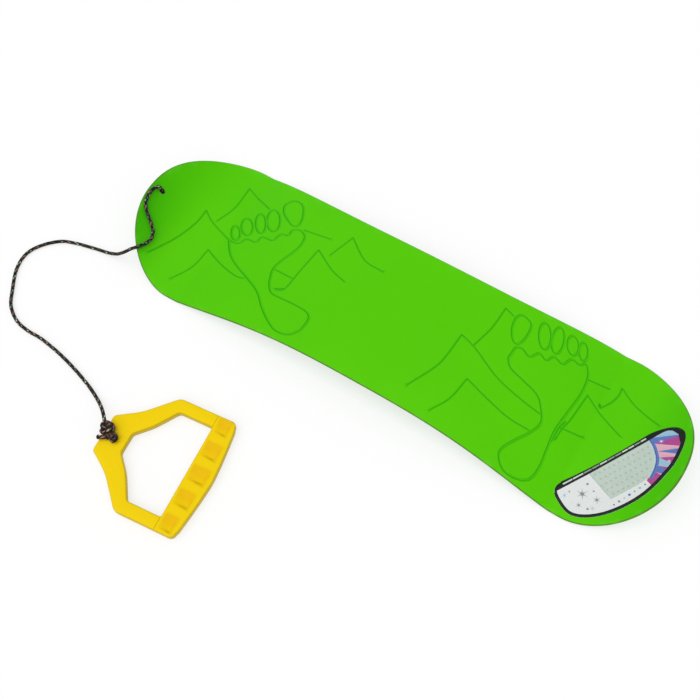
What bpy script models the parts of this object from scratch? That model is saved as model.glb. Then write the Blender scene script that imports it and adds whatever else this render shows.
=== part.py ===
"""Child's plastic snowboard: a thin moulded deck with a rope leash and a pull handle.

Metres, +Z up.  The nose points to -X, the tail to +X and the handle lies on the -Y side.
Shapes are worked out about the middle of the deck's footprint, on the floor.  One empty
then moves everything so that the origin is the middle of the footprint of deck and handle.
"""
import bisect
import math

import bmesh
import bpy
from mathutils import Matrix, Vector

# Deck: outline, side view and plate
DECK_LENGTH = 0.700
DECK_WIDTH = 0.2132
DECK_WAIST = 0.1894
DECK_THICKNESS = 0.003
DECK_EDGE_CHAMFER = 0.0007
TIP_LENGTH = 0.0893
ARCH_HEIGHT = 0.0255
LAND_PLACE = 0.250
LAND_LENGTH = 0.012
NOSE_LIFT = 0.0417
TAIL_LIFT = 0.0339
TIP_LENGTH_POWER = 1.82
TIP_WIDTH_POWER = 2.18
SIDECUT_POWER = 3.24
ARCH_POWER = 2.4
LIFT_POWER = 2.27
TIP_STEPS = 18
ARCH_STEPS = 14
TIP_LAST_ANGLE = math.radians(88.5)

# Hole in the nose for the rope
NOSE_HOLE_DIAMETER = 0.0062
NOSE_HOLE_INSET = 0.011

# Label on the tail, a D shape with its straight edge towards the middle of the deck
LABEL_LENGTH = 0.1560
LABEL_DEPTH = 0.0587
LABEL_STRAIGHT_SIDE_DEPTH = 0.012
LABEL_STRAIGHT_SIDE_POWER = 4
LABEL_ROUND_SIDE_POWER = 1.945
LABEL_SLANT_SHARE = -0.385
LABEL_THICKNESS = 0.0004
LABEL_FROM_TAIL = 0.0692
LABEL_OFFSET = -0.0114
LABEL_TURN = math.radians(56.5)
LABEL_STEPS = 72

# Fits
SEAT_GAP = 0.0003
CUT_OVERRUN = 0.002
LEVEL_TOLERANCE = 0.0001
FLAT_ANGLE = math.radians(0.1)

# Rope, and its knots of a slightly squeezed rope
ROPE_DIAMETER = 0.004
ROPE_BEVEL_RESOLUTION = 2
KNOT_ROPE_DIAMETER = 0.0038
KNOT_RING_RADIUS = 0.0048
KNOT_STRAND_RADIUS = 0.0022
KNOT_HALF_HEIGHT = KNOT_STRAND_RADIUS + KNOT_ROPE_DIAMETER / 2
KNOT_POINTS = 60

# Handle, measured from the middle of its short outer edge towards the grip.  Shares of its
# depth and half width place the corners between the rope's end and the two straight arms
HANDLE_PLACE = Vector((-0.2093, -0.2841, 0.0))
HANDLE_TURN = math.radians(6.5)
HANDLE_THICKNESS = 0.010
HANDLE_TOP_RADIUS = 0.0032
HANDLE_BOTTOM_RADIUS = 0.0020
HANDLE_HALF_WIDTH = 0.0712
HANDLE_DEPTH = 0.1363
HANDLE_BOW_RISE = 0.0075
HANDLE_BOW_POWER = 1.4
ROPE_END_HALF_WIDTH = 0.0225
ROPE_END_DEPTH = 0.0297
ARM_WIDTH = 0.0154
GRIP_WIDTH = 0.0307
OPENING_TIP_HALF_WIDTH = 0.0121
OUTER_WAIST_SHARES = (0.191, 0.548)
OUTER_SHOULDER_DEPTH_SHARE = 0.418
OPENING_WAIST_SHARES = (0.341, 0.412)
OPENING_SHOULDER_DEPTH_SHARE = 0.470
ROPE_END_CORNER_RADIUS = 0.0045
OPENING_TIP_RADIUS = 0.006
WAIST_RADIUS = 0.080
SHOULDER_RADIUS = 0.011
OPENING_SHOULDER_RADIUS = 0.008
GRIP_CORNER_RADIUS = 0.006
OPENING_CORNER_RADIUS = 0.0045
BOW_STEPS = 14

# Finger pockets in the top of the grip
POCKET_COUNT = 5
POCKET_LENGTH = 0.016
POCKET_DEPTH = 0.0022
POCKET_DRAFT = 0.0016
POCKET_CORNER_RADIUS = 0.003
POCKET_END_RIM = 0.0032
POCKET_INNER_LEDGE = 0.0040
POCKET_OUTER_RIM = 0.0055

# Rope hole and the groove that lets the rope pass under the handle's short edge
ROPE_HOLE_DIAMETER = 0.0052
ROPE_HOLE_PLACE = 0.015
ROPE_GROOVE_WIDTH = 0.0052
ROPE_GROOVE_HEIGHT = 0.0048

# Knot, loop and free end at the handle.  The knot rests on top, over the short outer edge
HANDLE_KNOT_PLACE = (0.0033, 0.0042, HANDLE_THICKNESS + SEAT_GAP + KNOT_HALF_HEIGHT)
HANDLE_KNOT_TURN = math.radians(17.6)
LOOP_START_REACH = 0.0087
LOOP_OUTSIDE = -0.0026
LOOP_LOW_HEIGHT = 0.0024
LOOP_BEND = 0.0031
FREE_END_ROOT = (0.0119, -0.0034)
FREE_END_TIP = (-0.0009, -0.0079)
FREE_END_RISE = 0.0006
FREE_END_STEPS = 3

# Route of the free rope, from the nose hole over the deck's edge and along the floor,
# and of its last stretch up to the knot at the handle
ROPE_ROUTE = [
    (-0.3390, 0.0000, 0.0320), (-0.3390, 0.0000, 0.0365), (-0.3392, -0.0004, 0.0400),
    (-0.3400, -0.0030, 0.0432), (-0.3412, -0.0075, 0.0446), (-0.3425, -0.0130, 0.0436),
    (-0.3425, -0.0190, 0.0418), (-0.3405, -0.0260, 0.0401), (-0.3365, -0.0325, 0.0366),
    (-0.3300, -0.0380, 0.0316), (-0.3225, -0.0435, 0.0267), (-0.3160, -0.0500, 0.0230),
    (-0.3130, -0.0580, 0.0216), (-0.3140, -0.0670, 0.0221), (-0.3180, -0.0770, 0.0243),
    (-0.3235, -0.0840, 0.0238), (-0.3310, -0.0890, 0.0178), (-0.3410, -0.0925, 0.0100),
    (-0.3540, -0.0945, 0.0042), (-0.3680, -0.0965, 0.0023), (-0.3840, -0.1000, 0.0021),
    (-0.4010, -0.1045, 0.0021), (-0.4180, -0.1120, 0.0021), (-0.4340, -0.1290, 0.0021),
    (-0.4415, -0.1480, 0.0021), (-0.4370, -0.1710, 0.0021), (-0.4210, -0.1970, 0.0021),
    (-0.4080, -0.2140, 0.0021), (-0.3890, -0.2255, 0.0021), (-0.3690, -0.2290, 0.0021),
    (-0.3480, -0.2290, 0.0021), (-0.3180, -0.2330, 0.0021), (-0.2890, -0.2395, 0.0021),
    (-0.2615, -0.2478, 0.0023), (-0.2440, -0.2550, 0.0030),
]
LEAD_ROUTE = [
    (-0.2440, -0.2550, 0.0030), (-0.2355, -0.2592, 0.0052), (-0.2270, -0.2642, 0.0092),
    (-0.2200, -0.2692, 0.0126), (-0.2140, -0.2742, 0.0144),
]
ROUTE_POINT_SPACING = 0.0075
ROUTE_FINE_STEPS = 24

GREEN = (0.085, 0.600, 0.010, 1.0)
YELLOW = (0.870, 0.640, 0.004, 1.0)
BLACK = (0.018, 0.016, 0.015, 1.0)
LABEL_PALE = (0.560, 0.640, 0.560, 1.0)


def clear_scene():
    for item in list(bpy.data.objects):
        bpy.data.objects.remove(item, do_unlink=True)


def material(name, colour, roughness):
    made = bpy.data.materials.new(name)
    made.use_nodes = True
    shader = made.node_tree.nodes["Principled BSDF"]
    shader.inputs["Base Color"].default_value = colour
    shader.inputs["Roughness"].default_value = roughness
    shader.inputs["Metallic"].default_value = 0.0
    return made


def add_object(name, data, finish, parent):
    item = bpy.data.objects.new(name, data)
    bpy.context.collection.objects.link(item)
    data.materials.append(finish)
    item.parent = parent
    return item


def shade(mesh, angle=math.radians(35)):
    mesh.shade_smooth()
    mesh.set_sharp_from_angle(angle=angle)


def half_width(x):
    """Half the deck's width at x: a waisted middle between two rounded tips."""
    wide_place = DECK_LENGTH / 2 - TIP_LENGTH
    along = abs(x)
    if along <= wide_place:
        share = (along / wide_place) ** (SIDECUT_POWER / 2)
        return (DECK_WAIST + (DECK_WIDTH - DECK_WAIST) * math.sin(math.pi / 2 * share) ** 2) / 2
    share = min(1.0, (along - wide_place) / TIP_LENGTH)
    angle = math.asin(share ** (TIP_LENGTH_POWER / 2))
    return DECK_WIDTH / 2 * math.cos(angle) ** (2 / TIP_WIDTH_POWER)


def underside(x):
    """Height and slope of the deck's underside: an arch, two flat lands and two lifted tips."""
    arch_end = LAND_PLACE - LAND_LENGTH / 2
    lift_start = LAND_PLACE + LAND_LENGTH / 2
    along = abs(x)
    side = math.copysign(1.0, x)
    if along < arch_end:
        share = along / arch_end
        height = ARCH_HEIGHT * (1 - share ** ARCH_POWER)
        slope = -ARCH_HEIGHT * ARCH_POWER * share ** (ARCH_POWER - 1) / arch_end
        return height, slope * side
    if along <= lift_start:
        return 0.0, 0.0
    reach = DECK_LENGTH / 2 - lift_start
    lift = TAIL_LIFT if x > 0 else NOSE_LIFT
    share = (along - lift_start) / reach
    height = lift * share ** LIFT_POWER
    slope = lift * LIFT_POWER * share ** (LIFT_POWER - 1) / reach
    return height, slope * side


def deck_point(x, y, above):
    """A point at a distance above the deck's underside, square to it."""
    height, slope = underside(x)
    size = math.hypot(1.0, slope)
    return Vector((x - slope / size * above, y, height + above / size))


def deck_stations():
    """Places along the deck where its cross-section is drawn."""
    wide_place = DECK_LENGTH / 2 - TIP_LENGTH
    arch_end = LAND_PLACE - LAND_LENGTH / 2
    half = [arch_end * step / ARCH_STEPS for step in range(ARCH_STEPS + 1)]
    half += [LAND_PLACE + LAND_LENGTH / 2, wide_place]
    for step in range(1, TIP_STEPS + 1):
        angle = TIP_LAST_ANGLE * step / TIP_STEPS
        half.append(wide_place + TIP_LENGTH * math.sin(angle) ** (2 / TIP_LENGTH_POWER))
    return [-x for x in reversed(half[1:])] + half


def deck_mesh():
    """The deck as one plate: a chamfered cross-section at each station, bridged."""
    mesh = bpy.data.meshes.new("deck")
    bm = bmesh.new()
    rings = []
    for x in deck_stations():
        edge = half_width(x)
        inner = edge - DECK_EDGE_CHAMFER
        top = DECK_THICKNESS
        section = [
            (inner, 0.0), (edge, DECK_EDGE_CHAMFER), (edge, top - DECK_EDGE_CHAMFER), (inner, top),
            (-inner, top), (-edge, top - DECK_EDGE_CHAMFER), (-edge, DECK_EDGE_CHAMFER), (-inner, 0.0),
        ]
        rings.append([bm.verts.new(deck_point(x, y, above)) for y, above in section])
    for ring, following in zip(rings, rings[1:]):
        for corner in range(len(ring)):
            after = (corner + 1) % len(ring)
            bm.faces.new((ring[corner], ring[after], following[after], following[corner]))
    bm.faces.new(list(reversed(rings[0])))
    bm.faces.new(rings[-1])
    bmesh.ops.recalc_face_normals(bm, faces=bm.faces)
    bm.to_mesh(mesh)
    bm.free()
    return mesh


def cutter(name, mesh, parent):
    item = bpy.data.objects.new(name, mesh)
    bpy.context.collection.objects.link(item)
    item.parent = parent
    item.hide_render = True
    item.display_type = "WIRE"
    return item


def cut(item, tool):
    boolean = item.modifiers.new(tool.name, "BOOLEAN")
    boolean.operation = "DIFFERENCE"
    boolean.solver = "EXACT"
    boolean.object = tool


def cylinder_mesh(name, radius, low, high, steps=20):
    mesh = bpy.data.meshes.new(name)
    bm = bmesh.new()
    middle = Matrix.Translation((0.0, 0.0, (low + high) / 2))
    bmesh.ops.create_cone(bm, cap_ends=True, segments=steps, radius1=radius, radius2=radius,
                          depth=high - low, matrix=middle)
    bm.to_mesh(mesh)
    bm.free()
    return mesh


def box_mesh(name, low, high):
    mesh = bpy.data.meshes.new(name)
    bm = bmesh.new()
    size = Vector(high) - Vector(low)
    place = Matrix.Translation((Vector(high) + Vector(low)) / 2)
    bmesh.ops.create_cube(bm, size=1.0, matrix=place @ Matrix.Diagonal((*size, 1.0)))
    bm.to_mesh(mesh)
    bm.free()
    return mesh


def point_over_deck(x, y, above):
    """As deck_point, but over the flat facets that the deck has between its stations."""
    stations = deck_stations()
    index = max(1, min(bisect.bisect_left(stations, x), len(stations) - 1))
    low, high = stations[index - 1], stations[index]
    share = (x - low) / (high - low)
    return deck_point(low, y, above).lerp(deck_point(high, y, above), share)


def make_deck(parent):
    deck = add_object("deck", deck_mesh(), material("deck_green", GREEN, 0.35), parent)
    hole = NOSE_HOLE_INSET - DECK_LENGTH / 2
    height, _ = underside(hole)
    drill = cutter("nose_hole_cutter", cylinder_mesh("nose_hole_cutter", NOSE_HOLE_DIAMETER / 2,
                                                     height - DECK_THICKNESS - CUT_OVERRUN,
                                                     height + 2 * DECK_THICKNESS + CUT_OVERRUN), parent)
    drill.location = (hole, 0.0, 0.0)
    cut(deck, drill)
    return deck


def label_outline():
    """The D shape, drawn flat: a slanted oval whose near side is almost straight."""
    points = []
    for step in range(LABEL_STEPS):
        angle = 2 * math.pi * step / LABEL_STEPS
        across, away = math.cos(angle), math.sin(angle)
        if away > 0:
            reach, power = LABEL_DEPTH - LABEL_STRAIGHT_SIDE_DEPTH, LABEL_ROUND_SIDE_POWER
        else:
            reach, power = LABEL_STRAIGHT_SIDE_DEPTH, LABEL_STRAIGHT_SIDE_POWER
        x = LABEL_LENGTH / 2 * math.copysign(abs(across) ** (2 / power), across)
        y = LABEL_STRAIGHT_SIDE_DEPTH + reach * math.copysign(abs(away) ** (2 / power), away)
        points.append(Vector((x + LABEL_SLANT_SHARE * y, -y)))
    return points


def make_label(parent):
    """A thin plate that follows the bend of the deck's top, one seat gap above it."""
    middle = Vector((DECK_LENGTH / 2 - LABEL_FROM_TAIL, LABEL_OFFSET))
    turn = Matrix.Rotation(LABEL_TURN, 2)
    mesh = bpy.data.meshes.new("label")
    bm = bmesh.new()
    outline = [middle + turn @ point for point in label_outline()]
    face = bm.faces.new([bm.verts.new((point.x, point.y, 0.0)) for point in outline])
    bm.normal_update()
    if face.normal.z < 0:
        face.normal_flip()
    for x in deck_stations():
        geometry = bm.verts[:] + bm.edges[:] + bm.faces[:]
        bmesh.ops.bisect_plane(bm, geom=geometry, plane_co=(x, 0.0, 0.0), plane_no=(1.0, 0.0, 0.0))
    bottom = DECK_THICKNESS + SEAT_GAP
    lower_faces = bm.faces[:]
    grown = bmesh.ops.extrude_face_region(bm, geom=lower_faces, use_keep_orig=True)
    upper = {item for item in grown["geom"] if isinstance(item, bmesh.types.BMVert)}
    for vert in bm.verts:
        above = bottom + LABEL_THICKNESS if vert in upper else bottom
        vert.co = point_over_deck(vert.co.x, vert.co.y, above)
    bmesh.ops.recalc_face_normals(bm, faces=bm.faces)
    bm.to_mesh(mesh)
    bm.free()
    return add_object("label", mesh, material("label_print", LABEL_PALE, 0.45), parent)


def round_corner(before, corner, after, radius, steps=5):
    """Points of the arc that rounds one corner of an outline."""
    to_before = (before - corner).normalized()
    to_after = (after - corner).normalized()
    half_angle = math.acos(max(-1.0, min(1.0, to_before.dot(to_after)))) / 2
    middle = corner + (to_before + to_after).normalized() * (radius / math.sin(half_angle))
    first = corner + to_before * (radius / math.tan(half_angle)) - middle
    sweep = math.pi - 2 * half_angle
    if to_before.x * to_after.y - to_before.y * to_after.x > 0:
        sweep = -sweep
    turned = [Matrix.Rotation(sweep * step / steps, 2) @ first for step in range(steps + 1)]
    return [middle + arm for arm in turned]


def rounded_outline(corners):
    """An outline from (place, radius, steps) corners, each one rounded."""
    points = []
    for index, (corner, radius, steps) in enumerate(corners):
        before = corners[index - 1][0]
        after = corners[(index + 1) % len(corners)][0]
        points += round_corner(before, corner, after, radius, steps)
    return points


def bow_depth(across):
    """Depth of the grip's outer edge, which bows out between its two corners."""
    return HANDLE_DEPTH - HANDLE_BOW_RISE * abs(across / HANDLE_HALF_WIDTH) ** HANDLE_BOW_POWER


def handle_corner(depth_share, width_share):
    return Vector((depth_share * HANDLE_DEPTH, width_share * HANDLE_HALF_WIDTH))


def handle_outline():
    shoulder_depth = OUTER_SHOULDER_DEPTH_SHARE * HANDLE_DEPTH
    side = [
        (Vector((0.0, ROPE_END_HALF_WIDTH)), ROPE_END_CORNER_RADIUS, 4),
        (handle_corner(*OUTER_WAIST_SHARES), WAIST_RADIUS, 4),
        (Vector((shoulder_depth, HANDLE_HALF_WIDTH)), SHOULDER_RADIUS, 6),
        (Vector((HANDLE_DEPTH - HANDLE_BOW_RISE, HANDLE_HALF_WIDTH)), GRIP_CORNER_RADIUS, 4),
    ]
    return mirrored_outline(side, bow=True)


def opening_outline():
    shoulder_depth = OPENING_SHOULDER_DEPTH_SHARE * HANDLE_DEPTH
    half_width = HANDLE_HALF_WIDTH - ARM_WIDTH
    side = [
        (Vector((ROPE_END_DEPTH, OPENING_TIP_HALF_WIDTH)), OPENING_TIP_RADIUS, 4),
        (handle_corner(*OPENING_WAIST_SHARES), WAIST_RADIUS, 3),
        (Vector((shoulder_depth, half_width)), OPENING_SHOULDER_RADIUS, 4),
        (Vector((HANDLE_DEPTH - GRIP_WIDTH, half_width)), OPENING_CORNER_RADIUS, 2),
    ]
    return mirrored_outline(side, bow=False)


def mirrored_outline(side, bow):
    """Closes a half outline with its mirror image; the outer one bows along the grip."""
    flipped = [(Vector((place.x, -place.y)), radius, steps) for place, radius, steps in reversed(side)]
    points = rounded_outline(side + flipped)
    if not bow:
        return points
    half = len(points) // 2
    reach = HANDLE_HALF_WIDTH - GRIP_CORNER_RADIUS
    bowed = []
    for step in range(1, BOW_STEPS):
        across = reach - 2 * reach * step / BOW_STEPS
        bowed.append(Vector((bow_depth(across), across)))
    return points[:half] + bowed + points[half:]


def plate_mesh(name, outlines, low, high):
    """A flat plate between two heights, with the first outline outside and the others cut out."""
    mesh = bpy.data.meshes.new(name)
    bm = bmesh.new()
    edges = []
    for outline in outlines:
        verts = [bm.verts.new((point.x, point.y, low)) for point in outline]
        edges += [bm.edges.new((verts[index - 1], verts[index])) for index in range(len(verts))]
    bmesh.ops.triangle_fill(bm, edges=edges, use_beauty=True)
    for face in bm.faces:
        if face.normal.z > 0:
            face.normal_flip()
    raised = bmesh.ops.extrude_face_region(bm, geom=bm.faces[:], use_keep_orig=True)
    moved = [item for item in raised["geom"] if isinstance(item, bmesh.types.BMVert)]
    bmesh.ops.translate(bm, verts=moved, vec=(0.0, 0.0, high - low))
    bmesh.ops.recalc_face_normals(bm, faces=bm.faces)
    bmesh.ops.dissolve_limit(bm, angle_limit=FLAT_ANGLE, verts=bm.verts[:], edges=bm.edges[:])
    bm.to_mesh(mesh)
    bm.free()
    return mesh


def pocket_mesh(across):
    """Cutter of one finger pocket: a rounded box that widens upwards."""
    mesh = bpy.data.meshes.new("pocket")
    bm = bmesh.new()
    low = HANDLE_DEPTH - GRIP_WIDTH + POCKET_INNER_LEDGE
    high = bow_depth(across) - POCKET_OUTER_RIM
    floor = HANDLE_THICKNESS - POCKET_DEPTH
    rings = []
    for level, grow in ((floor, 0.0), (HANDLE_THICKNESS + POCKET_DEPTH, 2 * POCKET_DRAFT)):
        half = POCKET_LENGTH / 2 - POCKET_DRAFT + grow
        first, last = low + POCKET_DRAFT - grow, high - POCKET_DRAFT + grow
        radius = POCKET_CORNER_RADIUS
        corners = [(Vector((u, across + v)), radius, 3)
                   for u, v in ((first, -half), (last, -half), (last, half), (first, half))]
        rings.append([bm.verts.new((point.x, point.y, level)) for point in rounded_outline(corners)])
    bm.faces.new(rings[0])
    bm.faces.new(rings[1])
    for index in range(len(rings[0])):
        bm.faces.new((rings[0][index - 1], rings[0][index], rings[1][index], rings[1][index - 1]))
    bmesh.ops.recalc_face_normals(bm, faces=bm.faces)
    bm.to_mesh(mesh)
    bm.free()
    return mesh


def make_handle(parent):
    """The flat moulded handle, built about the middle of its short outer edge."""
    mesh = plate_mesh("handle", [handle_outline(), opening_outline()], 0.0, HANDLE_THICKNESS)
    round_rim(mesh, HANDLE_THICKNESS, HANDLE_TOP_RADIUS, 3)
    round_rim(mesh, 0.0, HANDLE_BOTTOM_RADIUS, 2)
    shade(mesh)
    handle = add_object("handle", mesh, material("handle_yellow", YELLOW, 0.38), parent)
    last = HANDLE_HALF_WIDTH - POCKET_END_RIM - POCKET_LENGTH / 2
    for index in range(POCKET_COUNT):
        across = last * (2 * index / (POCKET_COUNT - 1) - 1)
        cut(handle, cutter("pocket_cutter_%d" % (index + 1), pocket_mesh(across), parent))
    hole = cylinder_mesh("rope_hole_cutter", ROPE_HOLE_DIAMETER / 2, -CUT_OVERRUN,
                         HANDLE_THICKNESS + CUT_OVERRUN)
    drill = cutter("rope_hole_cutter", hole, parent)
    drill.location = (ROPE_HOLE_PLACE, 0.0, 0.0)
    cut(handle, drill)
    groove = box_mesh("rope_groove_cutter", (-CUT_OVERRUN, -ROPE_GROOVE_WIDTH / 2, -CUT_OVERRUN),
                      (ROPE_HOLE_PLACE, ROPE_GROOVE_WIDTH / 2, ROPE_GROOVE_HEIGHT))
    cut(handle, cutter("rope_groove_cutter", groove, parent))
    return handle


def round_rim(mesh, level, radius, steps):
    """Rounds every edge of the plate's flat face at one level."""
    bm = bmesh.new()
    bm.from_mesh(mesh)
    rim = [edge for edge in bm.edges
           if all(abs(vert.co.z - level) < LEVEL_TOLERANCE for vert in edge.verts)
           and any(abs(face.normal.z) < LEVEL_TOLERANCE for face in edge.link_faces)]
    bmesh.ops.bevel(bm, geom=rim, offset=radius, segments=steps, profile=0.5,
                    affect="EDGES", clamp_overlap=True)
    bm.to_mesh(mesh)
    bm.free()


def smooth_points(route, spacing, before=None, after=None):
    """Points at an even spacing along a smooth curve through the route's own points.

    The places before and after the route set the direction of its two ends.
    """
    places = [Vector(point) for point in route]
    first = Vector(before) if before else 2 * places[0] - places[1]
    last = Vector(after) if after else 2 * places[-1] - places[-2]
    padded = [first] + places + [last]
    fine = []
    for earlier, start, end, later in zip(padded, padded[1:], padded[2:], padded[3:]):
        for step in range(ROUTE_FINE_STEPS):
            share = step / ROUTE_FINE_STEPS
            fine.append(0.5 * (2 * start + (end - earlier) * share
                               + (2 * earlier - 5 * start + 4 * end - later) * share ** 2
                               + (3 * start - earlier - 3 * end + later) * share ** 3))
    fine.append(places[-1])
    total = sum((b - a).length for a, b in zip(fine, fine[1:]))
    count = max(2, round(total / spacing))
    targets = [total * step / count for step in range(count + 1)]
    points, travelled, index = [fine[0]], 0.0, 0
    for target in targets[1:-1]:
        while travelled + (fine[index + 1] - fine[index]).length < target:
            travelled += (fine[index + 1] - fine[index]).length
            index += 1
        step = fine[index + 1] - fine[index]
        points.append(fine[index] + step * ((target - travelled) / step.length))
    return points + [fine[-1]], total


def rope_object(name, points, diameter, parent, finish, closed=False):
    curve = bpy.data.curves.new(name, "CURVE")
    curve.dimensions = "3D"
    curve.bevel_depth = diameter / 2
    curve.bevel_resolution = ROPE_BEVEL_RESOLUTION
    curve.use_fill_caps = not closed
    spline = curve.splines.new("POLY")
    spline.points.add(len(points) - 1)
    for target, point in zip(spline.points, points):
        target.co = (*point, 1.0)
    spline.use_cyclic_u = closed
    return add_object(name, curve, finish, parent)


def trim_end(points, distance):
    last = points[-1] + (points[-2] - points[-1]).normalized() * distance
    return points[:-1] + [last]


def knot_points():
    """A pulled-tight knot: one rope that winds twice round a small ring, three times through."""
    points = []
    for step in range(KNOT_POINTS):
        turn = 2 * math.pi * step / KNOT_POINTS
        reach = KNOT_RING_RADIUS + KNOT_STRAND_RADIUS * math.cos(3 * turn)
        points.append(Vector((reach * math.cos(2 * turn), reach * math.sin(2 * turn),
                              KNOT_STRAND_RADIUS * math.sin(3 * turn))))
    return points


def knot_gap(points):
    """Least gap between strands of the knot that are not neighbours along it."""
    nearest = min((a - b).length for index, a in enumerate(points) for other, b in enumerate(points)
                  if min(abs(index - other), len(points) - abs(index - other)) > len(points) // 6)
    return nearest - KNOT_ROPE_DIAMETER


def make_nose_knot(parent, finish):
    """Stopper knot pulled up against the underside of the nose, square to it."""
    hole = NOSE_HOLE_INSET - DECK_LENGTH / 2
    knot = rope_object("nose_knot", knot_points(), KNOT_ROPE_DIAMETER, parent, finish, closed=True)
    _, slope = underside(hole)
    knot.location = deck_point(hole, 0.0, -SEAT_GAP - KNOT_HALF_HEIGHT)
    knot.rotation_euler = (0.0, -math.atan(slope), 0.0)
    return knot


def make_free_rope(board_frame, lead_frame, finish):
    """The rope from the nose to the place where it starts to rise, and its short lead."""
    run, run_length = smooth_points(ROPE_ROUTE, ROUTE_POINT_SPACING, after=LEAD_ROUTE[1])
    lead, lead_length = smooth_points(LEAD_ROUTE, ROUTE_POINT_SPACING / 2, before=ROPE_ROUTE[-2])
    rope_object("rope_run", trim_end(run, SEAT_GAP), ROPE_DIAMETER, board_frame, finish)
    base = lead_frame.location
    lead = [point - base for point in lead]
    rope_object("rope_lead", lead, ROPE_DIAMETER, lead_frame, finish)
    return run_length + lead_length


def make_handle_ropework(parent, finish):
    """Knot, loop through the handle's hole and free end, placed on the handle."""
    knot = rope_object("handle_knot", knot_points(), KNOT_ROPE_DIAMETER, parent, finish, closed=True)
    knot.location = HANDLE_KNOT_PLACE
    knot.rotation_euler = (0.0, 0.0, HANDLE_KNOT_TURN)
    middle = Vector(HANDLE_KNOT_PLACE)
    over_hole = Vector((ROPE_HOLE_PLACE, 0.0, middle.z))
    corners = [
        middle + (over_hole - middle).normalized() * LOOP_START_REACH,
        over_hole,
        Vector((ROPE_HOLE_PLACE, 0.0, LOOP_LOW_HEIGHT)),
        Vector((LOOP_OUTSIDE, 0.0, LOOP_LOW_HEIGHT)),
        Vector((LOOP_OUTSIDE, 0.0, HANDLE_THICKNESS - SEAT_GAP)),
    ]
    path = [corners[0]]
    for before, corner, after in zip(corners, corners[1:], corners[2:]):
        path += bend(before, corner, after, LOOP_BEND)
    path.append(corners[-1])
    rope_object("rope_loop", path, KNOT_ROPE_DIAMETER, parent, finish)
    height = HANDLE_THICKNESS + SEAT_GAP + KNOT_ROPE_DIAMETER / 2
    root = Vector((*FREE_END_ROOT, height))
    tip = Vector((*FREE_END_TIP, height + FREE_END_RISE))
    free_end = [root.lerp(tip, step / FREE_END_STEPS) for step in range(FREE_END_STEPS + 1)]
    rope_object("rope_tail", free_end, KNOT_ROPE_DIAMETER, parent, finish)


def bend(before, corner, after, radius, steps=4):
    """Points of a round bend between two straight stretches of rope."""
    inward, outward = (before - corner).normalized(), (after - corner).normalized()
    half_angle = inward.angle(outward) / 2
    middle = corner + (inward + outward).normalized() * (radius / math.sin(half_angle))
    first = corner + inward * (radius / math.tan(half_angle))
    last = corner + outward * (radius / math.tan(half_angle))
    arm_first, arm_last = first - middle, last - middle
    sweep = arm_first.angle(arm_last)
    points = []
    for step in range(steps + 1):
        share = step / steps
        arm = (arm_first * math.sin((1 - share) * sweep) + arm_last * math.sin(share * sweep))
        points.append(middle + arm / math.sin(sweep))
    return points


def empty(name, parent, place=(0.0, 0.0, 0.0), turn=0.0):
    item = bpy.data.objects.new(name, None)
    bpy.context.collection.objects.link(item)
    item.parent = parent
    item.location = place
    item.rotation_euler = (0.0, 0.0, turn)
    return item


def footprint_shift():
    """Moves the middle of the footprint of deck and handle to the origin."""
    turn = Matrix.Rotation(HANDLE_TURN, 2)
    lowest = min((turn @ point).y for point in handle_outline()) + HANDLE_PLACE.y
    return Vector((0.0, -(lowest + DECK_WIDTH / 2) / 2, 0.0))


def main():
    clear_scene()
    shift = footprint_shift()
    board_frame = empty("board_frame", None, shift)
    lead_frame = empty("lead_frame", board_frame, LEAD_ROUTE[0])
    handle_frame = empty("handle_frame", board_frame, HANDLE_PLACE, HANDLE_TURN)
    rope_finish = material("rope_black", BLACK, 0.8)
    make_deck(board_frame)
    make_label(board_frame)
    make_nose_knot(board_frame, rope_finish)
    length = make_free_rope(board_frame, lead_frame, rope_finish)
    make_handle(handle_frame)
    make_handle_ropework(handle_frame, rope_finish)
    bpy.context.view_layer.update()
    print("shift of the footprint: %.4f m" % shift.y)
    print("length of the free rope: %.4f m" % length)
    print("least gap inside a knot: %.5f m" % knot_gap(knot_points()))


main()
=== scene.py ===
import math

import bmesh
import bpy
import numpy as np
from mathutils import Matrix, Vector
from mathutils.geometry import delaunay_2d_cdt


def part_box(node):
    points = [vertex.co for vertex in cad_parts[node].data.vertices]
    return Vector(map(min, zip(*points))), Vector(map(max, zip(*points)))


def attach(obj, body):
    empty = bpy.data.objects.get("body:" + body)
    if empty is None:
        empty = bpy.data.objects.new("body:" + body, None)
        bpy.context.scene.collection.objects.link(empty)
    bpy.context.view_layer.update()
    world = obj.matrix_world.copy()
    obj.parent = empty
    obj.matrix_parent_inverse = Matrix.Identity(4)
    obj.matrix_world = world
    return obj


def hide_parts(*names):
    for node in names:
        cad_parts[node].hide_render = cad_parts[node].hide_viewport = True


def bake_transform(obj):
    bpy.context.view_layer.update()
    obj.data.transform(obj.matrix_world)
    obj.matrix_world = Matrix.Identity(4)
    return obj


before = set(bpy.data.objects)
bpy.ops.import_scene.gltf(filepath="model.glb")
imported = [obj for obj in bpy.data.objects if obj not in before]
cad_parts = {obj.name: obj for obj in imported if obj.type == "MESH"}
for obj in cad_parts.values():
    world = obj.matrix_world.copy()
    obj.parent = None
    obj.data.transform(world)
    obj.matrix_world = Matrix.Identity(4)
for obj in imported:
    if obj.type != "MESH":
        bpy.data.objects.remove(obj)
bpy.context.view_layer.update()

DECK_LOW, DECK_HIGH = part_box("deck")
SHIFT = Vector((0.0, (DECK_LOW.y + DECK_HIGH.y) / 2, 0.0))

# Camera
CAMERA_PLACE = Vector((0.2069, -0.3239, 0.9078))
CAMERA_TARGET = Vector((-0.0334, 0.0685, 0.0))
CAMERA_LENS = 44.96
CAMERA_SENSOR = 36.0
CAMERA_FAR = 50.0

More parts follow.
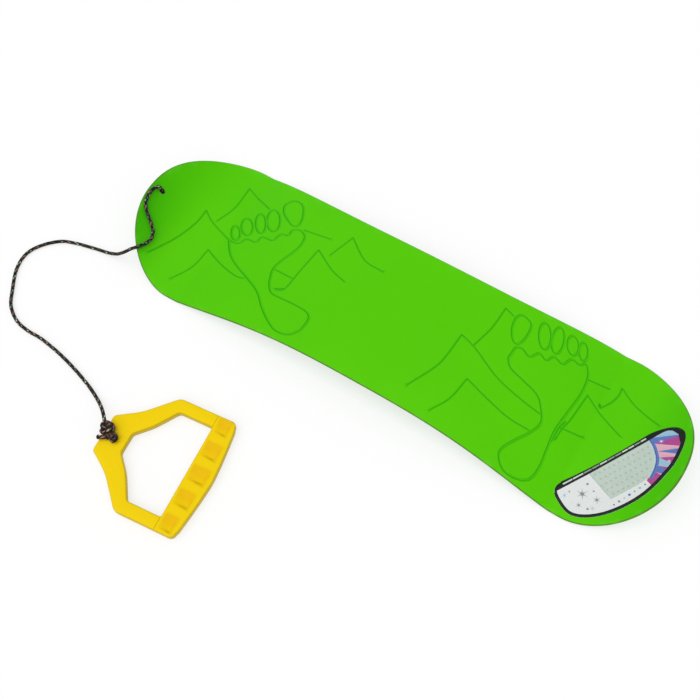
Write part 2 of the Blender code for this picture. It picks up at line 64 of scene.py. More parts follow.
# Deck, as in the part
DECK_LENGTH = 0.700
DECK_WIDTH = 0.2132
DECK_WAIST = 0.1894
DECK_THICKNESS = 0.003
TIP_LENGTH = 0.0893
WIDE_PLACE = DECK_LENGTH / 2 - TIP_LENGTH
ARCH_HEIGHT = 0.0255
ARCH_END = 0.244
LIFT_START = 0.256
NOSE_LIFT = 0.0417
TAIL_LIFT = 0.0339
TIP_LENGTH_POWER = 1.82
TIP_WIDTH_POWER = 2.18
SIDECUT_POWER = 3.24
ARCH_POWER = 2.4
LIFT_POWER = 2.27
HOLE_PLACE = (-0.339, 0.0)
HOLE_RADIUS = 0.0031
HOLE_LIP = 0.0006
DECK_RIM_RADIUS = 0.0011

# Deck's mesh
TOP_GRID = (0.0045, 0.0055)
UNDER_GRID = (0.009, 0.012)
TIP_STEPS = 160
SIDE_STEPS = 300
OUTLINE_SPACING = 0.0028
RIM_ROUND_STEPS = 6
HOLE_ROUND_STEPS = 4
HOLE_STEPS = 32
HOLE_SUPPORT = HOLE_RADIUS + 3 * HOLE_LIP
CLEAR_OF_RIM = 2 * DECK_RIM_RADIUS + 0.0012
CLEAR_OF_HOLE = HOLE_SUPPORT + 0.0008
CLEAR_OF_STROKE = 0.0034
WELD_DISTANCE = 2e-6
RUBBED_START = 0.001
RUBBED_REACH = 0.006

# Engraved lines, with painted shade in them: a thin one for the mountains, a wider one with a flat floor
# for feet and toes
STROKE_SPACING = 0.0016
LINE_HALF_WIDTH = 0.0016
LINE_DEPTH = 0.0007
LINE_PAINTED_SHADE = 0.85
LINE_SUPPORTS = [share * LINE_HALF_WIDTH for share in (0.0, 0.45, 1.0, 1.35)]
FOOT_HALF_WIDTH = 0.0019
FOOT_FLAT = 0.0006
FOOT_DEPTH = 0.0007
FOOT_PAINTED_SHADE = 0.30
FOOT_WALL_PLACE = (FOOT_FLAT + FOOT_HALF_WIDTH) / 2
FOOT_WALL_REACH = 0.0009
FOOT_SUPPORTS = (0.0, FOOT_FLAT, FOOT_WALL_PLACE, FOOT_HALF_WIDTH, FOOT_HALF_WIDTH + 0.0004)
# Painted shade on the foot lines' walls: the way towards the wall turned from the light, and the shade on
# a wall square to that way
LEE_SIDE = (-0.52, -0.85)
LEE_MIDDLE = 0.5
TOE_STEPS = 16

# Label
LABEL_RIM = 0.0035
LABEL_STRIP_RIM = 0.0009
LABEL_PLACE = Vector((0.2808, -0.0114))
LABEL_TURN = math.radians(56.5)
LABEL_LOW = 0.0001
LABEL_HIGH = 0.0005
LABEL_SPACING = 0.0022
LABEL_GRID = 0.0026
LABEL_CLEAR = 0.0008

# Handle
HANDLE_PLACE = Vector((-0.2093, -0.2841, 0.0)) + SHIFT
HANDLE_TURN = math.radians(6.5)
HANDLE_FRAME = Matrix.Translation(HANDLE_PLACE) @ Matrix.Rotation(HANDLE_TURN, 4, "Z")
HANDLE_THICKNESS = 0.010
HANDLE_HALF_WIDTH = 0.0712
HANDLE_DEPTH = 0.1363
HANDLE_BOW_RISE = 0.0075
HANDLE_BOW_POWER = 1.4
ROPE_END_HALF_WIDTH = 0.0225
ROPE_END_DEPTH = 0.0297
ARM_WIDTH = 0.0154
GRIP_WIDTH = 0.0307
GRIP_START = HANDLE_DEPTH - GRIP_WIDTH
OPENING_HALF_WIDTH = HANDLE_HALF_WIDTH - ARM_WIDTH
WAIST_ROUND = 0.080
GRIP_ROUND = 0.006
# Corners on one side, from the rope's end to the grip: depth, half width and radius
OUTER_CORNERS = [
    (0.0, ROPE_END_HALF_WIDTH, 0.0045),
    (0.191 * HANDLE_DEPTH, 0.548 * HANDLE_HALF_WIDTH, WAIST_ROUND),
    (0.418 * HANDLE_DEPTH, HANDLE_HALF_WIDTH, 0.011),
    (HANDLE_DEPTH - HANDLE_BOW_RISE, HANDLE_HALF_WIDTH, GRIP_ROUND),
]
OPENING_CORNERS = [
    (ROPE_END_DEPTH, 0.0121, 0.006),
    (0.341 * HANDLE_DEPTH, 0.412 * HANDLE_HALF_WIDTH, WAIST_ROUND),
    (0.470 * HANDLE_DEPTH, OPENING_HALF_WIDTH, 0.006),
    (GRIP_START, OPENING_HALF_WIDTH, 0.0022),
]
ROPE_HOLE_PLACE = (0.015, 0.0)
ROPE_HOLE_RADIUS = 0.0026
ROPE_HOLE_LIP = 0.0007
ROPE_HOLE_DROP = 0.0006
ROPE_HOLE_STEPS = 28
GROOVE_HALF_WIDTH = 0.0026
GROOVE_HEIGHT = 0.0049
GROOVE_POWER = 8

# Rims of the handle, its joint lines and the pockets in its grip
TOP_REACH = 0.0017
TOP_DROP = 0.0015
TOP_CROWN = 0.0003
CROWN_REACH = 0.0075
BOTTOM_REACH = 0.0022
BOTTOM_RISE = 0.0018
# Painted shade along the top's rounded edge, and how far in it reaches
EDGE_SHADE = 0.7
EDGE_SHADE_REACH = 0.0013
HANDLE_RUBBED_REACH = 0.0045
JOINT_HALF_WIDTH = 0.0007
JOINT_DEPTH = 0.0005
JOINT_DARK = 0.6
POCKETS = 5
LAST_POCKET = 0.0594
POCKET_HALF_LENGTH = 0.0090
POCKET_DEPTH = 0.0024
POCKET_CORNER = 0.0032
POCKET_LEAST_CORNER = 0.0004
POCKET_LEDGE = 0.0016
POCKET_RIM = 0.0058
# Start and width of each fade, from a pocket's inner, outer, low and high side
POCKET_FADES = ((0.0, 0.013), (-0.001, 0.0055), (0.0, 0.0036), (0.0, 0.0075))
# Painted shade in a pocket: its fades, its least share, and where it starts to grow towards the high side
POCKET_SHADE_FADES = ((0.0, 0.003), (-0.003, 0.005), (0.0, 0.003), (-0.0035, 0.004))
POCKET_SHADE_LEAST = 0.45
POCKET_SHADE_SWELL_START = 0.5
# The painted shadow line at a pocket's low side
SILL_FADES = ((0.009, 0.004), (-0.0025, 0.004))
SILL_PLACE = 0.0012
SILL_CURVE = 10.0
SILL_REACH = 0.0020
SILL_SHADOW = 0.44

# Handle's mesh
OUTLINE_ROUND_STEPS = 12
POCKET_ROUND_STEPS = 5
BOW_STEPS = 40
HANDLE_SPACING = 0.0014
POCKET_SPACING = 0.0013
JOINT_SPACING = 0.0016
HANDLE_GRID = 0.002
HANDLE_CLEAR = 0.0038
RIM_SUPPORTS = (0.0003, 0.0010, 0.0020, 0.0034)
POCKET_SUPPORTS = (0.0, 0.0006, 0.0014, 0.0022, 0.0034)
JOINT_SUPPORT_SHARES = (-1.3, -1.0, -0.5, 0.0, 0.5, 1.0, 1.3)
JOINT_SUPPORT_ENDS = (0.0008, ARM_WIDTH - 0.0004)
GROOVE_SUPPORTS = (0.00262, 0.00255, 0.0022, 0.0014)
GROOVE_SUPPORT_ENDS = (0.0002, 0.0136)
TINY = 0.00001
AT_RIM = 0.0001
SHARP_ANGLE = math.radians(50)

# Rope
ROPE_RADIUS = 0.0020
KNOT_ROPE_RADIUS = 0.0019
STRAND_SWELL = 0.00015
KNOT_SWELL = 0.0003
KNOT_RING_RADIUS = 0.0048
KNOT_STRAND_RADIUS = 0.0022
KNOT_HALF_HEIGHT = KNOT_STRAND_RADIUS + KNOT_ROPE_RADIUS
KNOT_SAMPLES = 420
SEAT_GAP = 0.0003
CARRIERS = 6
CELL_LENGTH = 0.0034
RING_VERTS = 36
RING_STEP = CELL_LENGTH / 8
STRAND_RISE = 0.00032
STRAND_LEAST_RISE = 0.35
TIP_SWELL_REACH = 2.2
TIP_ROUND_REACH = 1.1
TIP_LEAST = 0.03
LEAST_SIDE = 0.1
CELL_MARGIN = 1e-6
END_UV = (0.05, 0.1)
HANDLE_KNOT_PLACE = Vector((0.0033, 0.0048, HANDLE_THICKNESS + 2 * SEAT_GAP + KNOT_HALF_HEIGHT))
HANDLE_KNOT_TURN = math.radians(17.6)
FREE_END_ROOT = (0.0119, -0.0034)
FREE_END_TIP = (-0.0026, -0.0088)
FREE_END_RISE = 0.0009
FREE_END_TIP_SWELL = 1.28

ROPE_ROUTE = [
    (-0.3390, 0.0000, 0.0320), (-0.3390, 0.0000, 0.0365), (-0.3392, -0.0004, 0.0400),
    (-0.3400, -0.0030, 0.0432), (-0.3412, -0.0075, 0.0446), (-0.3425, -0.0130, 0.0436),
    (-0.3425, -0.0190, 0.0418), (-0.3405, -0.0260, 0.0401), (-0.3365, -0.0325, 0.0366),
    (-0.3300, -0.0380, 0.0316), (-0.3225, -0.0435, 0.0267), (-0.3160, -0.0500, 0.0230),
    (-0.3130, -0.0580, 0.0216), (-0.3140, -0.0670, 0.0221), (-0.3180, -0.0770, 0.0243),
    (-0.3235, -0.0840, 0.0238), (-0.3310, -0.0890, 0.0178), (-0.3410, -0.0925, 0.0100),
    (-0.3540, -0.0945, 0.0042), (-0.3680, -0.0965, 0.0023), (-0.3840, -0.1000, 0.0021),
    (-0.4010, -0.1045, 0.0021), (-0.4180, -0.1120, 0.0021), (-0.4340, -0.1290, 0.0021),
    (-0.4415, -0.1480, 0.0021), (-0.4370, -0.1710, 0.0021), (-0.4210, -0.1970, 0.0021),
    (-0.4080, -0.2140, 0.0021), (-0.3890, -0.2255, 0.0021), (-0.3690, -0.2290, 0.0021),
    (-0.3480, -0.2290, 0.0021), (-0.3180, -0.2330, 0.0021), (-0.2890, -0.2395, 0.0021),
    (-0.2615, -0.2478, 0.0023), (-0.2440, -0.2550, 0.0030),
]
LEAD_ROUTE = [
    (-0.2440, -0.2550, 0.0030), (-0.2355, -0.2592, 0.0052), (-0.2270, -0.2642, 0.0092),
    (-0.2200, -0.2692, 0.0126), (-0.2140, -0.2742, 0.0144),
]
# From the knot in a curl over the handle's hole, through it, under the edge and up again
LOOP_ROUTE = [
    (0.0085, 0.0004, 0.0146), (0.0125, 0.0012, 0.0154), (0.0162, 0.0010, 0.0157),
    (0.0186, -0.0012, 0.0152), (0.0185, -0.0040, 0.0143), (0.0163, -0.0056, 0.0134),
    (0.0142, -0.0044, 0.0126), (0.0141, -0.0020, 0.0121), (0.0149, -0.0003, 0.0097),
    (0.0150, 0.0, 0.0060), (0.0136, 0.0, 0.0030), (0.0104, 0.0, 0.0024),
    (0.0050, 0.0, 0.0024), (0.0002, 0.0, 0.0024), (-0.0022, 0.0, 0.0036),
    (-0.0026, 0.0, 0.0066), (-0.0024, 0.0, 0.0112),
]


# Helpers
CURVE_STEPS = 24
POINTS_AT_ONCE = 2000
TO_MILLIMETRES = 1000.0
CDT_TOLERANCE = 1e-4


def add_object(name, data, *finishes):
    item = bpy.data.objects.new(name, data)
    bpy.context.collection.objects.link(item)
    for finish in finishes:
        data.materials.append(finish)
    return item


def object_from(bm, name, *finishes):
    mesh = bpy.data.meshes.new(name)
    bm.to_mesh(mesh)
    bm.free()
    return add_object(name, mesh, *finishes)


def make_camera():
    data = bpy.data.cameras.new("camera")
    data.lens = CAMERA_LENS
    data.sensor_width = CAMERA_SENSOR
    data.clip_end = CAMERA_FAR
    camera = add_object("camera", data)
    camera.location = CAMERA_PLACE
    camera.rotation_euler = (CAMERA_TARGET - CAMERA_PLACE).to_track_quat("-Z", "Y").to_euler()
    bpy.context.scene.camera = camera


make_camera()


def travelled(line):
    """Distance along a polyline at each of its points."""
    return np.concatenate([[0.0], np.cumsum(np.linalg.norm(np.diff(line, axis=0), axis=1))])


def even(line, spacing):
    """A polyline drawn again with an even spacing."""
    places = travelled(line)
    targets = np.linspace(0.0, places[-1], max(2, round(places[-1] / spacing)) + 1)
    return np.stack([np.interp(targets, places, values) for values in line.T], axis=1)


def directions(line, closed):
    """Unit vector along a polyline or ring at each of its points."""
    ahead = np.roll(line, -1, 0) - np.roll(line, 1, 0) if closed else np.gradient(line, axis=0)
    return ahead / np.linalg.norm(ahead, axis=1)[:, None]


def smooth_curve(route, spacing, closed=False):
    """Evenly spaced points on a smooth curve through the given places."""
    places = [np.array(point, float) for point in route]
    if closed:
        padded = [places[-1], *places, places[0], places[1]]
    else:
        padded = [2 * places[0] - places[1], *places, 2 * places[-1] - places[-2]]
    share = np.linspace(0.0, 1.0, CURVE_STEPS, endpoint=False)[:, None]
    fine = [0.5 * (2 * start + (end - earlier) * share
                   + (2 * earlier - 5 * start + 4 * end - later) * share ** 2
                   + (3 * start - earlier - 3 * end + later) * share ** 3)
            for earlier, start, end, later in zip(padded, padded[1:], padded[2:], padded[3:])]
    return even(np.concatenate([*fine, [padded[-2]]]), spacing)


def shut(ring):
    """A ring with its first point repeated at its end."""
    return np.concatenate([ring, ring[:1]])


def anticlockwise(ring):
    after = np.roll(ring, -1, 0)
    clockwise = (ring[:, 0] * after[:, 1] - after[:, 0] * ring[:, 1]).sum() < 0
    return ring[::-1] if clockwise else ring


def circle(middle, radius, steps):
    turns = 2 * math.pi * np.arange(steps) / steps
    return np.stack([middle[0] + radius * np.cos(turns), middle[1] + radius * np.sin(turns)], 1)


def grid_over(low, high, steps):
    return np.array([(x, y) for x in np.arange(low[0], high[0], steps[0])
                     for y in np.arange(low[1], high[1], steps[1])])


def nearest_on(points, strokes):
    """Distance of each 2-D point from the strokes, and its direction from them."""
    starts = np.concatenate([stroke[:-1] for stroke in strokes])
    along = np.concatenate([stroke[1:] for stroke in strokes]) - starts
    size = (along ** 2).sum(1)
    gaps = []
    for part in np.array_split(points, len(points) // POINTS_AT_ONCE + 1):
        away = part[:, None] - starts
        share = np.clip((away * along).sum(2) / size, 0.0, 1.0)
        gap = away - share[..., None] * along
        gaps.append(gap[np.arange(len(part)), (gap ** 2).sum(2).argmin(1)])
    gap = np.concatenate(gaps)
    reach = np.linalg.norm(gap, axis=1)
    return reach, gap / np.maximum(reach, 1e-9)[:, None]


def distance_to(points, strokes):
    return nearest_on(points, strokes)[0]


def within(points, polygon):
    """Whether each 2-D point lies in a polygon."""
    x, y = points.T
    inside = np.zeros(len(points), bool)
    for (ax, ay), (bx, by) in zip(polygon, np.roll(polygon, -1, 0)):
        if ay == by:
            continue
        crosses = (ay > y) != (by > y)
        inside ^= crosses & (x < ax + (y - ay) / (by - ay) * (bx - ax))
    return inside


def smoothstep(value):
    value = np.clip(value, 0.0, 1.0)
    return value * value * (3 - 2 * value)


def faded(distances, fades):
    """Product of the fades from 0 to 1, one for each distance."""
    return math.prod(smoothstep((away - start) / width) for away, (start, width) in zip(distances, fades))


def offset_line(points, distance, closed=False):
    """A 2-D polyline moved sideways; a positive distance goes to its left."""
    ahead = directions(points, closed)
    return points + distance * np.stack([-ahead[:, 1], ahead[:, 0]], axis=1)


class Flat:
    """Collects 2-D points and lines, then triangulates them within the first ring."""

    def __init__(self, outline):
        self.points, self.edges = [], []
        self.add_ring(outline)
        self.face = list(range(len(outline)))

    def add(self, points):
        self.points += [Vector(point) * TO_MILLIMETRES for point in points]

    def add_line(self, points):
        base = len(self.points)
        self.add(points)
        self.edges += [(index, index + 1) for index in range(base, len(self.points) - 1)]

    def add_ring(self, points):
        self.add_line(points)
        self.edges.append((len(self.points) - 1, len(self.points) - len(points)))

    def add_beside(self, stroke, distances, closed=False):
        """Lines on both sides of a stroke, or the stroke itself at no distance."""
        add = self.add_ring if closed else self.add_line
        for away in distances:
            for side in ((1, -1) if away else (1,)):
                add(offset_line(stroke, side * away, closed))

    def triangles(self):
        verts, _, faces, *_ = delaunay_2d_cdt(self.points, self.edges, [self.face], 1, CDT_TOLERANCE)
        return np.array([(v.x, v.y) for v in verts]) / TO_MILLIMETRES, [tuple(face) for face in faces]


def middles_of(points, faces):
    return np.array([points[list(face)].mean(0) for face in faces])


def without(points, faces, *holes):
    """The faces whose middles lie in none of the holes."""
    gone = np.logical_or.reduce([within(middles_of(points, faces), hole) for hole in holes])
    return [face for face, dropped in zip(faces, gone) if not dropped]


def join_rings(bm, ring, following):
    """Quads between two rings of vertices."""
    after, following_after = ring[1:] + ring[:1], following[1:] + following[:1]
    return [bm.faces.new(corners) for corners in zip(ring, after, following_after, following)]


def float_layers(bm, *names):
    return [bm.verts.layers.float.new(name) for name in names]


def fill_plate(bm, upper, lower, faces):
    """Top, bottom and walls between two like sheets of vertices; gives the top's faces."""
    tops = [bm.faces.new([upper[index] for index in face]) for face in faces]
    index_of = {vert: index for index, vert in enumerate(upper)}
    border = [[index_of[vert] for vert in edge.verts] for edge in bm.edges if len(edge.link_faces) == 1]
    for face in faces:
        bm.faces.new([lower[index] for index in reversed(face)])
    for first, second in border:
        bm.faces.new((upper[first], upper[second], lower[second], lower[first]))
    loose = [vert for vert in bm.verts if not vert.link_faces]
    bmesh.ops.delete(bm, geom=loose, context="VERTS")
    bmesh.ops.recalc_face_normals(bm, faces=bm.faces)
    return tops


# Materials
def fill(node, values):
    """Gives sockets their values: numbers, colours or the outputs of other nodes."""
    for key, value in values.items():
        socket = node.inputs[key]
        if isinstance(value, bpy.types.NodeSocket):
            node.id_data.links.new(value, socket)
        elif socket.type == "RGBA":
            socket.default_value = (*value, 1.0)
        else:
            socket.default_value = value
    return node


def add_node(tree, kind, values=None, **settings):
    node = tree.nodes.new(kind)
    for key, value in settings.items():
        setattr(node, key, value)
    return fill(node, values or {})


class Shader:
    """A Principled material with small helpers for its procedural nodes."""

    def __init__(self, name, **looks):
        self.made = bpy.data.materials.new(name)
        self.made.use_nodes = True
        self.principled = self.made.node_tree.nodes["Principled BSDF"]
        fill(self.principled, {key.replace("_", " "): value for key, value in looks.items()})

    def node(self, kind, values=None, **settings):
        return add_node(self.made.node_tree, kind, values, **settings)

    def math(self, operation, *values, clamp=False):
        made = self.node("ShaderNodeMath", dict(enumerate(values)), operation=operation, use_clamp=clamp)
        return made.outputs[0]

    def times(self, first, second, clamp=False):
        return self.math("MULTIPLY", first, second, clamp=clamp)

    def place(self, scale=(1.0, 1.0, 1.0)):
        place = self.node("ShaderNodeTexCoord").outputs["Object"]
        return self.node("ShaderNodeMapping", {"Vector": place, "Scale": scale}).outputs[0]

    def split(self, vector):
        return self.node("ShaderNodeSeparateXYZ", {0: vector}).outputs

    def noise(self, scale, detail=3.0, roughness=0.5, vector=None):
        values = {"Scale": scale, "Detail": detail, "Roughness": roughness,
                  "Vector": vector or self.place()}
        return self.node("ShaderNodeTexNoise", values).outputs["Fac"]

    def ramp(self, value, low, high, to_low=0.0, to_high=1.0):
        values = {"Value": value, "From Min": low, "From Max": high, "To Min": to_low, "To Max": to_high}
        return self.node("ShaderNodeMapRange", values, interpolation_type="SMOOTHSTEP").outputs["Result"]

    def attribute(self, name):
        return self.node("ShaderNodeAttribute", attribute_name=name).outputs["Fac"]

    def mix(self, factor, first, second):
        values = {"Factor": factor, "A": first, "B": second}
        return self.node("ShaderNodeMix", values, data_type="RGBA").outputs["Result"]

    def bump(self, height, distance, strength, before=None):
        values = {"Height": height, "Distance": distance, "Strength": strength}
        if before is not None:
            values["Normal"] = before
        return self.node("ShaderNodeBump", values).outputs["Normal"]

    def finish(self, colour, roughness, normal):
        fill(self.principled, {"Base Color": colour, "Roughness": roughness, "Normal": normal})
        return self.made


# Plastic: the scales of its patterns per metre, then where painted shade darkens the deck's tips
CLOUD_SCALE = 9.0
PATCH_SCALE = 70.0
STREAK_SCALE = (40.0, 700.0, 200.0)
GRAIN_SCALE = 1500.0
WAVE_SCALE = 28.0
NOSE_FADE = (-0.285, -0.345)
NOSE_FADE_ACROSS = (0.18, 0.05)
TAIL_FADE = (0.275, 0.345)
TAIL_SHADE_AMOUNT = 0.4
TIP_SHADE_AMOUNT = 0.7
WORN_AMOUNT = 0.35


def moulded_plastic(name, main, deep, worn, roughness, shades, side, tint, painted_tip_shade=None):
    """Moulded plastic: clouded colour, dark joints and painted shade in lines, pockets, side walls and
    the deck's tips, rubbed rim, scuffs, grain.
    """
    s = Shader(name, Specular_IOR_Level=0.24, Specular_Tint=tint)
    colour = s.mix(s.ramp(s.noise(CLOUD_SCALE), 0.35, 0.7, 0.0, 0.28), main, deep)
    # Painted shade: the nose darker, most towards its low-y side, and the tail a little
    if painted_tip_shade:
        along, across, _ = s.split(s.place())
        nose = s.times(s.ramp(along, *NOSE_FADE), s.ramp(across, *NOSE_FADE_ACROSS, 0.2, 1.0))
        tail = s.ramp(along, *TAIL_FADE, 0.0, TAIL_SHADE_AMOUNT)
        colour = s.mix(s.times(s.math("ADD", nose, tail), TIP_SHADE_AMOUNT), colour, painted_tip_shade)
    # Each layer darkens the colour: painted shade, and on the handle also its dark joints
    for layer, amount, shade in shades:
        colour = s.mix(s.times(s.attribute(layer), amount), colour, shade)
    # Painted shade on the side walls
    colour = s.mix(s.math("POWER", s.attribute("side"), 2.0), colour, side)
    patches = s.noise(PATCH_SCALE, 4.0, 0.6)
    rubbed = s.times(s.attribute("rim"), s.ramp(patches, 0.45, 0.72), clamp=True)
    colour = s.mix(s.times(rubbed, WORN_AMOUNT), colour, worn)
    scuff = s.ramp(s.noise(1.0, 4.0, 0.6, s.place(STREAK_SCALE)), 0.62, 0.75)
    rough = s.ramp(patches, 0.3, 0.75, roughness - 0.05, roughness + 0.07)
    for marks, amount in ((scuff, 0.10), (rubbed, 0.15)):
        rough = s.math("ADD", rough, s.times(marks, amount))
    normal = s.bump(s.noise(GRAIN_SCALE, 2.0), distance=0.00006, strength=0.5)
    normal = s.bump(s.noise(WAVE_SCALE, 2.0), 0.0006, 0.35, normal)
    normal = s.bump(scuff, 0.00004, 0.4, normal)
    return s.finish(colour, rough, normal)


# The shade layers and side colours are painted shade; the handle's line shade also holds its dark joints
DECK_FINISH = moulded_plastic(
    "deck_green", main=(0.085, 0.590, 0.0), deep=(0.062, 0.545, 0.0), worn=(0.15, 0.66, 0.03),
    roughness=0.34, shades=[("line_shade", 1.0, (0.0, 0.365, 0.0))],
    side=(0.070, 0.23, 0.016), tint=(0.9, 1.0, 0.25), painted_tip_shade=(0.008, 0.38, 0.0))
HANDLE_FINISH = moulded_plastic(
    "handle_yellow", main=(0.885, 0.630, 0.0), deep=(0.860, 0.580, 0.0), worn=(0.90, 0.70, 0.03),
    roughness=0.36,
    shades=[("pocket_shade", 0.8, (0.80, 0.46, 0.0)), ("line_shade", 0.85, (0.46, 0.30, 0.0))],
    side=(0.42, 0.36, 0.04), tint=(1.0, 0.95, 0.3))

# Rope: the scales of its patterns per metre, and its coloured carriers as way round and number
FIBRE_SCALE = 2600.0
TONE_SCALE = 60.0
FLECK_SCALE = 140.0
FILAMENTS = 5
COLOURED_CARRIERS = ((0, 0.0), (0, 3.0), (1, 1.0), (1, 4.0))
FILAMENT_GAP_SHADE = (0.004, 0.004, 0.004)
LOOSE_FIBRE = (0.14, 0.12, 0.11)


def braided_rope(name, dark, light, tints):
    """Near-black braid with coloured flecks; its UV is the share round and the cells along."""
    s = Shader(name, Specular_IOR_Level=0.1, Sheen_Weight=0.06, Sheen_Roughness=0.6)
    turn, along, _ = s.split(s.node("ShaderNodeUVMap", uv_map="braid").outputs[0])
    round_way = s.times(turn, float(CARRIERS))
    ways = [s.math(operation, round_way, along) for operation in ("ADD", "SUBTRACT")]
    cells = [s.math("FLOOR", way) for way in ways]
    over = s.math("FLOORED_MODULO", s.math("ADD", *cells), 2.0)
    numbers = [s.math("FLOORED_MODULO", cell, float(CARRIERS)) for cell in cells]
    fibre = s.noise(FIBRE_SCALE)
    black = s.mix(s.ramp(s.noise(TONE_SCALE), 0.3, 0.7), dark, light)
    colours = [black, black]
    bright = s.ramp(s.noise(FLECK_SCALE, 2.0), 0.38, 0.62, 0.15, 1.0)
    for (way, number), tint in zip(COLOURED_CARRIERS, tints):
        chosen = s.times(s.math("COMPARE", numbers[way], number, 0.1), bright)
        colours[way] = s.mix(chosen, colours[way], tint)
    colour = s.mix(over, *colours)
    # Filaments run along each carrier
    first, second = (s.math("SINE", s.times(way, 2 * math.pi * FILAMENTS)) for way in ways)
    filament = s.math("ADD", s.times(first, s.math("SUBTRACT", 1.0, over)), s.times(second, over))
    # Painted shade in the creases between filaments
    colour = s.mix(s.ramp(filament, -1.0, 0.4, 0.35, 0.0), colour, FILAMENT_GAP_SHADE)
    colour = s.mix(s.ramp(fibre, 0.58, 0.85, 0.0, 0.25), colour, LOOSE_FIBRE)
    height = s.math("ADD", s.times(filament, 0.5), fibre)
    normal = s.bump(height, distance=0.00012, strength=0.8)
    return s.finish(colour, s.ramp(fibre, 0.3, 0.7, 0.62, 0.85), normal)


ROPE_FINISH = braided_rope(
    "rope_braid", dark=(0.006, 0.006, 0.009), light=(0.020, 0.017, 0.018),
    tints=[(0.34, 0.24, 0.16), (0.04, 0.17, 0.15), (0.72, 0.66, 0.44), (0.36, 0.24, 0.12)])
KNOT_FINISH = braided_rope(
    "rope_braid_knot", dark=(0.014, 0.006, 0.006), light=(0.040, 0.016, 0.014),
    tints=[(0.45, 0.20, 0.20), (0.20, 0.25, 0.10), (0.62, 0.50, 0.34), (0.45, 0.20, 0.24)])

# Label film: the scales of its patterns per metre
MOTTLE_SCALE = 420.0
RIPPLE_SCALE = 45.0
FILM_GRAIN_SCALE = 1800.0


def printed_film(name, colour, second, roughness=0.38, specular=0.35):
    """Printed sticker film: ink with faint mottling and a satin varnish."""
    s = Shader(name, Specular_IOR_Level=specular)
    ink = s.noise(MOTTLE_SCALE, 4.0, 0.7)
    tinted = s.mix(s.ramp(ink, 0.42, 0.62, 0.0, 0.55), colour, second)
    normal = s.bump(s.noise(RIPPLE_SCALE, 2.0), distance=0.0004, strength=0.35)
    normal = s.bump(s.noise(FILM_GRAIN_SCALE, 2.0), 0.00003, 0.4, normal)
    return s.finish(tinted, s.ramp(ink, 0.3, 0.7, roughness - 0.06, roughness + 0.08), normal)


# Deck's form
def underside(x):
    """Height and slope of the deck's underside at a place along it."""
    along = abs(x)
    side = math.copysign(1.0, x)
    if along < ARCH_END:
        share = along / ARCH_END
        slope = -ARCH_HEIGHT * ARCH_POWER * share ** (ARCH_POWER - 1) / ARCH_END
        return ARCH_HEIGHT * (1 - share ** ARCH_POWER), slope * side
    if along <= LIFT_START:
        return 0.0, 0.0
    reach = DECK_LENGTH / 2 - LIFT_START
    lift = TAIL_LIFT if x > 0 else NOSE_LIFT
    share = (along - LIFT_START) / reach
    slope = lift * LIFT_POWER * share ** (LIFT_POWER - 1) / reach
    return lift * share ** LIFT_POWER, slope * side


def deck_point(x, y, above):
    """A point at a distance above the deck's underside, square to it, in the part's frame."""
    height, slope = underside(x)
    size = math.hypot(1.0, slope)
    return Vector((x - slope / size * above, y + SHIFT.y, height + above / size))


